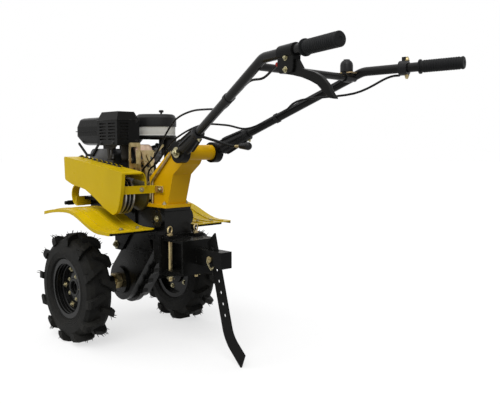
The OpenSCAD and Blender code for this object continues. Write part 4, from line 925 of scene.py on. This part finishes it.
def make_spark_plug(bright, dark):
    """Spark plug with its cap and lead, and the fuel hose."""
    plug = on_cylinder(172, 30, -44)
    axis = (BORE_UP * 0.3 - Y).normalized()
    bright.lathe(plug, axis, [(9, 0), (9, 9), (6, 10), (6, 22)], 6)
    dark.lathe(plug + axis * 14, axis, [(9, 0), (10, 6), (9.5, 26), (7, 32)], 18)
    lead = [plug + axis * 44, plug + axis * 60 + Z * 6, (-20, -104, 706), (20, -98, 690)]
    hose = [(60, -40, 752), (30, -46, 735), (-30, -66, 716), (-66, -72, 712)]
    for route, r in ((lead, 3.5), (hose, 4)):
        dark.tube(smooth(route, 6), r, 8)


def make_linkage(bright, gold):
    """Cable end collars, rods and spring at the control plate."""
    for foot in (CLUTCH_SHELF, THROTTLE_SHELF):
        gold.lathe(foot - Z * 0.6, Z, [(4.2, 0), (8, 0.2), (8, 5), (5.4, 5.4), (5.4, 20), (4.2, 21)], 14)
        gold.lathe(foot - Z * 3.6, -Z, [(3, 0), (8, 0.2), (8, 5), (5, 5.4), (5, 13)], 6)
    for rod, r in (([(-139, 20, 640), (-142, 28, 690), (-140, 36, 730)], 3),
                   ([(-146, -10, 650), (-150, 16, 690), (-148, 44, 700)], 2),
                   ([(-141, -14, 700), (-128, -30, 728), (-108, -58, 738)], 2)):
        gold.tube(smooth(rod, 5), r, 8)
    gold.prism(flat_bar((-14, 676), (6, 716), 13), (-141, 0, 0), Y, Z, 3)
    spring = [Vector((-148, 44, 612)) + Vector((*polar(5, 40 * k), 0.75 * k)) for k in range(80)]
    bright.tube(spring, 0.9, 5)


def make_engine_bolts(bright, dark, gold):
    for y, z in ((-8, 640), (-8, 706), (38, 706), (38, 640)):
        bright.bolt((-137, y, z), -X, 5, 4, 1.5)
    for degrees in (20, 140, 260):
        a, b = polar(88, degrees)
        dark.bolt((CRANK.x + a, -120, CRANK.z + b), -Y, 5, 4, 1.4)
    for x in (10, 166):
        for side in (1, -1):
            bright.bolt((x, side * 78, 566), Y * side, 8, 6)
    for x in (-4, 60, 116, 168):
        for side in (-1, 1):
            gold.bolt((x, side * 68, 557), Z, 7, 6, 1.4)
    dark.lathe(OIL_CAP, -Y + Z * 0.4, [(11, 0), (11, 16), (14, 17), (14, 27), (11, 30)], 20)
    for x in (-89, -1):
        dark.bolt((x, 130, 765), Y, 5, 3.4, 1.7)
    for z in (772, 850):
        dark.bolt((-118, 44, z), -X, 4.5, 3, 1.6)


def make_engine_fittings():
    bright, dark, gold = Shape(), Shape(), Shape()
    make_spark_plug(bright, dark)
    make_linkage(bright, gold)
    make_engine_bolts(bright, dark, gold)
    make_carburettor_trim(bright, gold)
    make_recoil_handle(dark)
    bright.make("engine_fittings_bright", "alloy", "chassis", "cast_aluminium")
    dark.make("engine_fittings_dark", "plastic", "chassis", "black_plastic")
    gold.make("engine_linkage", "zinc", "chassis", "zinc")


def make_carburettor_trim(bright, gold):
    bowl = Vector((-84, -67, 690))
    bright.lathe(bowl, Z, [(19.2, 0), (21.5, 1), (21.5, 4), (19.2, 5)], 32)
    bright.lathe(bowl + Z * 16, Z, [(19.2, 0), (22, 1), (22, 5), (19.2, 6)], 32)
    bright.bolt(bowl - Z * 3, -Z, 6, 5, 1.4)
    gold.prism(flat_bar((-70, 738), (-92, 756), 10), (-103.5, 0, 0), Y, Z, 2.4)
    for y in (-78, -56):
        bright.bolt((-102, y, 728), -X, 4.5, 4, 1.4)


def make_recoil_handle(dark):
    pull = Vector((40, -152, 716))
    dark.tube(smooth([pull, pull + Vector((-12, -6, 14)), pull + Vector((-22, -8, 30))], 4), 2, 8)
    grip = pull + Vector((-22, -8, 32))
    way = Vector((0.8, 0, 0.55)).normalized()
    dark.tube([grip + way * d for d in (-26, -24, -10, 0, 10, 24, 26)], [5, 7.5, 6.6, 8.5, 6.6, 7.5, 5], 14)


# Handlebar

CLAMP_FACE, RIBS, RIB_T = 95.3, 8, 4
CLAMP_SLEEVE = [(20.1, 44), (26, 46), (26, 54), (19.5, 148), (22, 150), (22, 164), (14.2, 166)]
CLAMP_RIB = [(50, 24), (54, 31), (70, 31), (144, 24.5), (147, 18)]
COLLAR_AT, COLLAR_R = 157, 21.5
CABLE_CLIP_L, CABLE_CLIP_SHIFT = 14, 0.012


def ring_on_bar(shape, centre, axis, r, length):
    profile = [(r, 0), (r + 2.4, 0.8), (r + 2.4, length - 0.8), (r, length)]
    shape.lathe(centre - axis * length / 2, axis, profile, 28)


def make_cable_clips(dark):
    for clip, side in ((CLUTCH_CLIP, 1), (THROTTLE_CLIP, -1)):
        along, share = on_side(BAR, side), clip + CABLE_CLIP_SHIFT
        ring_on_bar(dark, on_side(mix(FOOT, BEND, share), side), along, BAR_R + 0.2, CABLE_CLIP_L)
        ring_on_bar(dark, on_side(beside(share, 0.5), side), along, CABLE_R + 0.2, CABLE_CLIP_L)


def make_clamp_sleeves(dark, bolts):
    """Tapered, ribbed sleeves of the handle clamps."""
    for _, side in SIDES:
        bolts.bolt(CROSS + Y * side * CLAMP_FACE, Y * side, 12, 9, 1.6, 6)
        foot, along, under = (on_side(v, side) for v in (FOOT, BAR, -UPPER))
        dark.lathe(foot, along, CLAMP_SLEEVE, 32)
        for k in range(RIBS):
            turn = math.tau * k / RIBS
            rib = UPPER * math.cos(turn) + BAR.cross(UPPER) * math.sin(turn)
            dark.plate(CLAMP_RIB, [], foot, along, on_side(rib, side), RIB_T)
        bolts.bolt(on_side(FOOT + BAR * COLLAR_AT, side) + under * COLLAR_R, under, 4.5, 4, 1.4, 3)


def make_adjuster(dark, gold, red):
    """Adjusting screw of the clutch cable."""
    barrel = [(4, 0), (6.2, 0.5), (6.2, 7), (4.8, 7.5), (4.8, 26), (4, 27)]
    dark.lathe(CLUTCH_PORT + FORWARD * 18, FORWARD, barrel, 14)
    gold.lathe(CLUTCH_PORT + FORWARD * 27, FORWARD, [(4.9, 0), (7, 0.4), (7, 5.6), (4.9, 6)], 6)
    red.lathe(CLUTCH_PORT + FORWARD * 36, FORWARD, [(4.9, 0), (6, 0.8), (6, 8), (4.9, 9)], 16)


def make_handle_fittings():
    dark, bolts, gold, red = Shape(), Shape(), Shape(), Shape()
    make_cable_clips(dark)
    make_clamp_sleeves(dark, bolts)
    make_adjuster(dark, gold, red)
    throttle = flip(END - HAND * THROTTLE_BACK)
    for drop in (24, -24):
        way = Z if drop > 0 else -Z
        gold.bolt(throttle + Z * drop * 0.9 - flip(FORWARD) * 9, way, 6, 6, 1.3, 4)
    make_switch(dark, gold, red)
    make_clutch_control(bolts)
    dark.make("handle_clips", "plastic", "handlebar_body", "black_plastic")
    bolts.make("handle_bolts", "bolt", "handlebar_body", "zinc")
    gold.make("handle_bright", "zinc", "handlebar_body", "zinc")
    red.make("handle_red", "red", "handlebar_body", "black_plastic")


BRACKET_BACK, BRACKET_L, BRACKET_W, BRACKET_H = 160.0, 68.0, 24.0, 54.0
LEVER_T = 12.0
LEVER_EDGE = [(40, -36), (8, -30), (-5.5, -23), (-26, -48), (-78, -63), (-103, -75), (-127, -96),
              (-139, -114), (-152, -128), (-151, -130), (-133, -127), (-118, -117), (-87.5, -93), (-59, -81),
              (-26, -70), (8, -62), (40, -56)]


def make_clutch_control(bolts):
    """Clamped bracket on the left handle, with a flat bent lever below the grip."""
    shape, lever = Shape(), Shape()
    base = END - HAND * BRACKET_BACK
    face = Z.cross(FORWARD)
    slope = 10.0
    outline = [(0, 0), (0, slope - BRACKET_H), (slope / 2, -BRACKET_H), (BRACKET_L - slope, -BRACKET_H),
               (BRACKET_L, slope - BRACKET_H), (BRACKET_L, 0)]
    shape.plate(outline, [], base, FORWARD, Z, BRACKET_W)
    shape.lathe(base, -HAND, [(14.2, 0), (19, 0.8), (19, BRACKET_L - 0.8), (14.2, BRACKET_L)], 32)
    lever.plate(LEVER_EDGE, [], base, FORWARD, Z, LEVER_T)
    for drop in (16.5, 46.0):
        for way in (face, -face):
            bolts.bolt(base + FORWARD * 32 + way * BRACKET_W / 2 - Z * drop, way, 5.5, 4, 1.5, 2.5)
    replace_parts(shape.make("clutch_clamp", "black", "handlebar_body", "black_paint", 1.6), "clutch_bracket")
    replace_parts(lever.make("clutch_blade", "black", "handlebar_body", "black_paint", 2.4), "clutch_lever")


GRIP_R, GRIP_L, GRIP_RINGS, GRIP_PITCH, GRIP_GROOVE = 18.5, 128.0, 15, 7.2, 1.2


def make_grips():
    """Ribbed rubber sleeves, closed at the end."""
    shape = Shape()
    low = GRIP_R - GRIP_GROOVE
    profile = [(14.2, 0), (21.5, 0.4), (21.5, 4.6), (low, 5.5)]
    for i in range(GRIP_RINGS):
        for share, r in ((0.0, low), (0.18, GRIP_R), (0.66, GRIP_R), (0.84, low)):
            profile.append((r, 12 + i * GRIP_PITCH + GRIP_PITCH * share))
    profile += [(low, 124), (GRIP_R, 125), (GRIP_R, 129), (GRIP_R - 2, 131.4), (6, 132), (5, 130.5)]
    for _, side in SIDES:
        shape.lathe(on_side(END - HAND * GRIP_L, side), on_side(HAND, side), profile, 40)
    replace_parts(shape.make("grip_sleeves", "grip", "handlebar_body", "rubber"), "grips")


SWITCH = Vector((-965.5, -172.0, 970.3))
SWITCH_HOOD = [(14.2, 0), (20, 1), (20, 22), (18.5, 29), (14, 35), (10, 37), (10, 39.5)]
SWITCH_WIRE_SHARES = (0.86, 0.76, 0.66, 0.56)


def make_switch(dark, gold, red):
    """Domed hood, bracket and wire of the stop switch."""
    gold.prism(rounded(58, 30, 6), SWITCH + Vector((0, -4, 7)), X, Y, 3)
    dark.lathe(SWITCH + Z * 10, Z, SWITCH_HOOD, 36)
    red.lathe(SWITCH + Z * 38, Z, [(9, 0), (9, 5), (7, 8), (3, 9)], 24)
    wire = [SWITCH + Vector((8, -14, 12)), SWITCH + Vector((26, -24, -4))]
    wire += [flip(beside(share, -1)) for share in SWITCH_WIRE_SHARES]
    dark.tube(smooth(wire, 6), 2.0, 8)


# Stage

FLOOR_GLOW, SKY_SEEN, SKY_LIGHT = 0.64, 1.0, 0.45
FLOOR_HALF, WHITE = 30.0, (1, 1, 1, 1)
FLOOR_DARK, FLOOR_PALE = (0.30, 0.30, 0.30, 1), (0.33, 0.33, 0.33, 1)
# Direction, power and spread in degrees of each light
SUNS = {"key": ((-0.50, 0.55, 0.67), 2.0, 40), "top": ((0.10, 0.15, 1.0), 1.2, 60),
        "fill": ((0.50, 0.75, 0.40), 0.6, 50)}


def make_stage():
    """Floor that keeps a soft shadow and glows white where it is seen."""
    floor_mesh = bpy.data.meshes.new("floor")
    corners = [(a * FLOOR_HALF, b * FLOOR_HALF, 0) for a, b in ((-1, -1), (1, -1), (1, 1), (-1, 1))]
    floor_mesh.from_pydata(corners, [], [(0, 1, 2, 3)])
    floor = bpy.data.objects.new("floor", floor_mesh)
    bpy.context.scene.collection.objects.link(floor)
    s = Shader("floor_white")
    path = s.add("ShaderNodeLightPath").outputs
    seen = s.maths("MAXIMUM", path["Is Camera Ray"], path["Is Glossy Ray"])
    seen = s.maths("MAXIMUM", seen, path["Is Transmission Ray"])
    speck = s.remap(s.noise(3.0), 0.3, 0.7, 0.30, 0.31)
    matt = s.add("ShaderNodeBsdfDiffuse", {"Color": s.blend(speck, FLOOR_DARK, FLOOR_PALE)})
    strength = s.maths("MULTIPLY", seen, FLOOR_GLOW)
    glow = s.add("ShaderNodeEmission", {"Color": WHITE, "Strength": strength})
    both = s.add("ShaderNodeAddShader", {0: matt.outputs[0], 1: glow.outputs[0]})
    s.add("ShaderNodeOutputMaterial", {"Surface": both.outputs[0]})
    floor_mesh.materials.append(s.material)


def make_world():
    """White surround, brighter to look at than as a light."""
    world = bpy.data.worlds.new("studio")
    bpy.context.scene.world = world
    world.use_nodes = True
    tree = world.node_tree
    tree.nodes.clear()
    kinds = ("LightPath", "Math", "Math", "MapRange", "Background", "OutputWorld")
    path, seen, also, level, sky, output = (tree.nodes.new("ShaderNode" + kind) for kind in kinds)
    seen.operation = "MAXIMUM"
    also.operation = "MAXIMUM"
    level.inputs["To Min"].default_value = SKY_LIGHT
    level.inputs["To Max"].default_value = SKY_SEEN
    sky.inputs["Color"].default_value = WHITE
    rays = path.outputs
    for source, target in (
            (rays["Is Camera Ray"], seen.inputs[0]), (rays["Is Glossy Ray"], seen.inputs[1]),
            (seen.outputs[0], also.inputs[0]), (rays["Is Transmission Ray"], also.inputs[1]),
            (also.outputs[0], level.inputs["Value"]), (level.outputs["Result"], sky.inputs["Strength"]),
            (sky.outputs[0], output.inputs["Surface"])):
        tree.links.new(source, target)


def sun(name, towards, power, spread):
    """Broad light from a direction, as from a large soft box."""
    data = bpy.data.lights.new(name, "SUN")
    data.energy, data.angle = power, math.radians(spread)
    light = bpy.data.objects.new(name, data)
    light.rotation_euler = (-Vector(towards)).to_track_quat("-Z", "Y").to_euler()
    bpy.context.scene.collection.objects.link(light)


make_camera()
make_cables()
for side_name, side_sign in SIDES:
    make_wheel(side_name, side_sign)
make_chassis_bolts()
make_strap_highlight_plate()
make_pins()
make_drag_bar()
make_rocker_lid()
make_air_cleaner()
make_exhaust_flange()
make_control_wing()
make_guard_ledge()
make_silencer_stay()
make_tank_struts()
make_cover_flange()
make_cover_louvres()
make_engine_fittings()
make_handle_fittings()
make_grips()
make_stage()
make_world()
for sun_name, (towards, power, spread) in SUNS.items():
    sun(sun_name, towards, power, spread)
bpy.context.scene.view_settings.view_transform = "Standard"
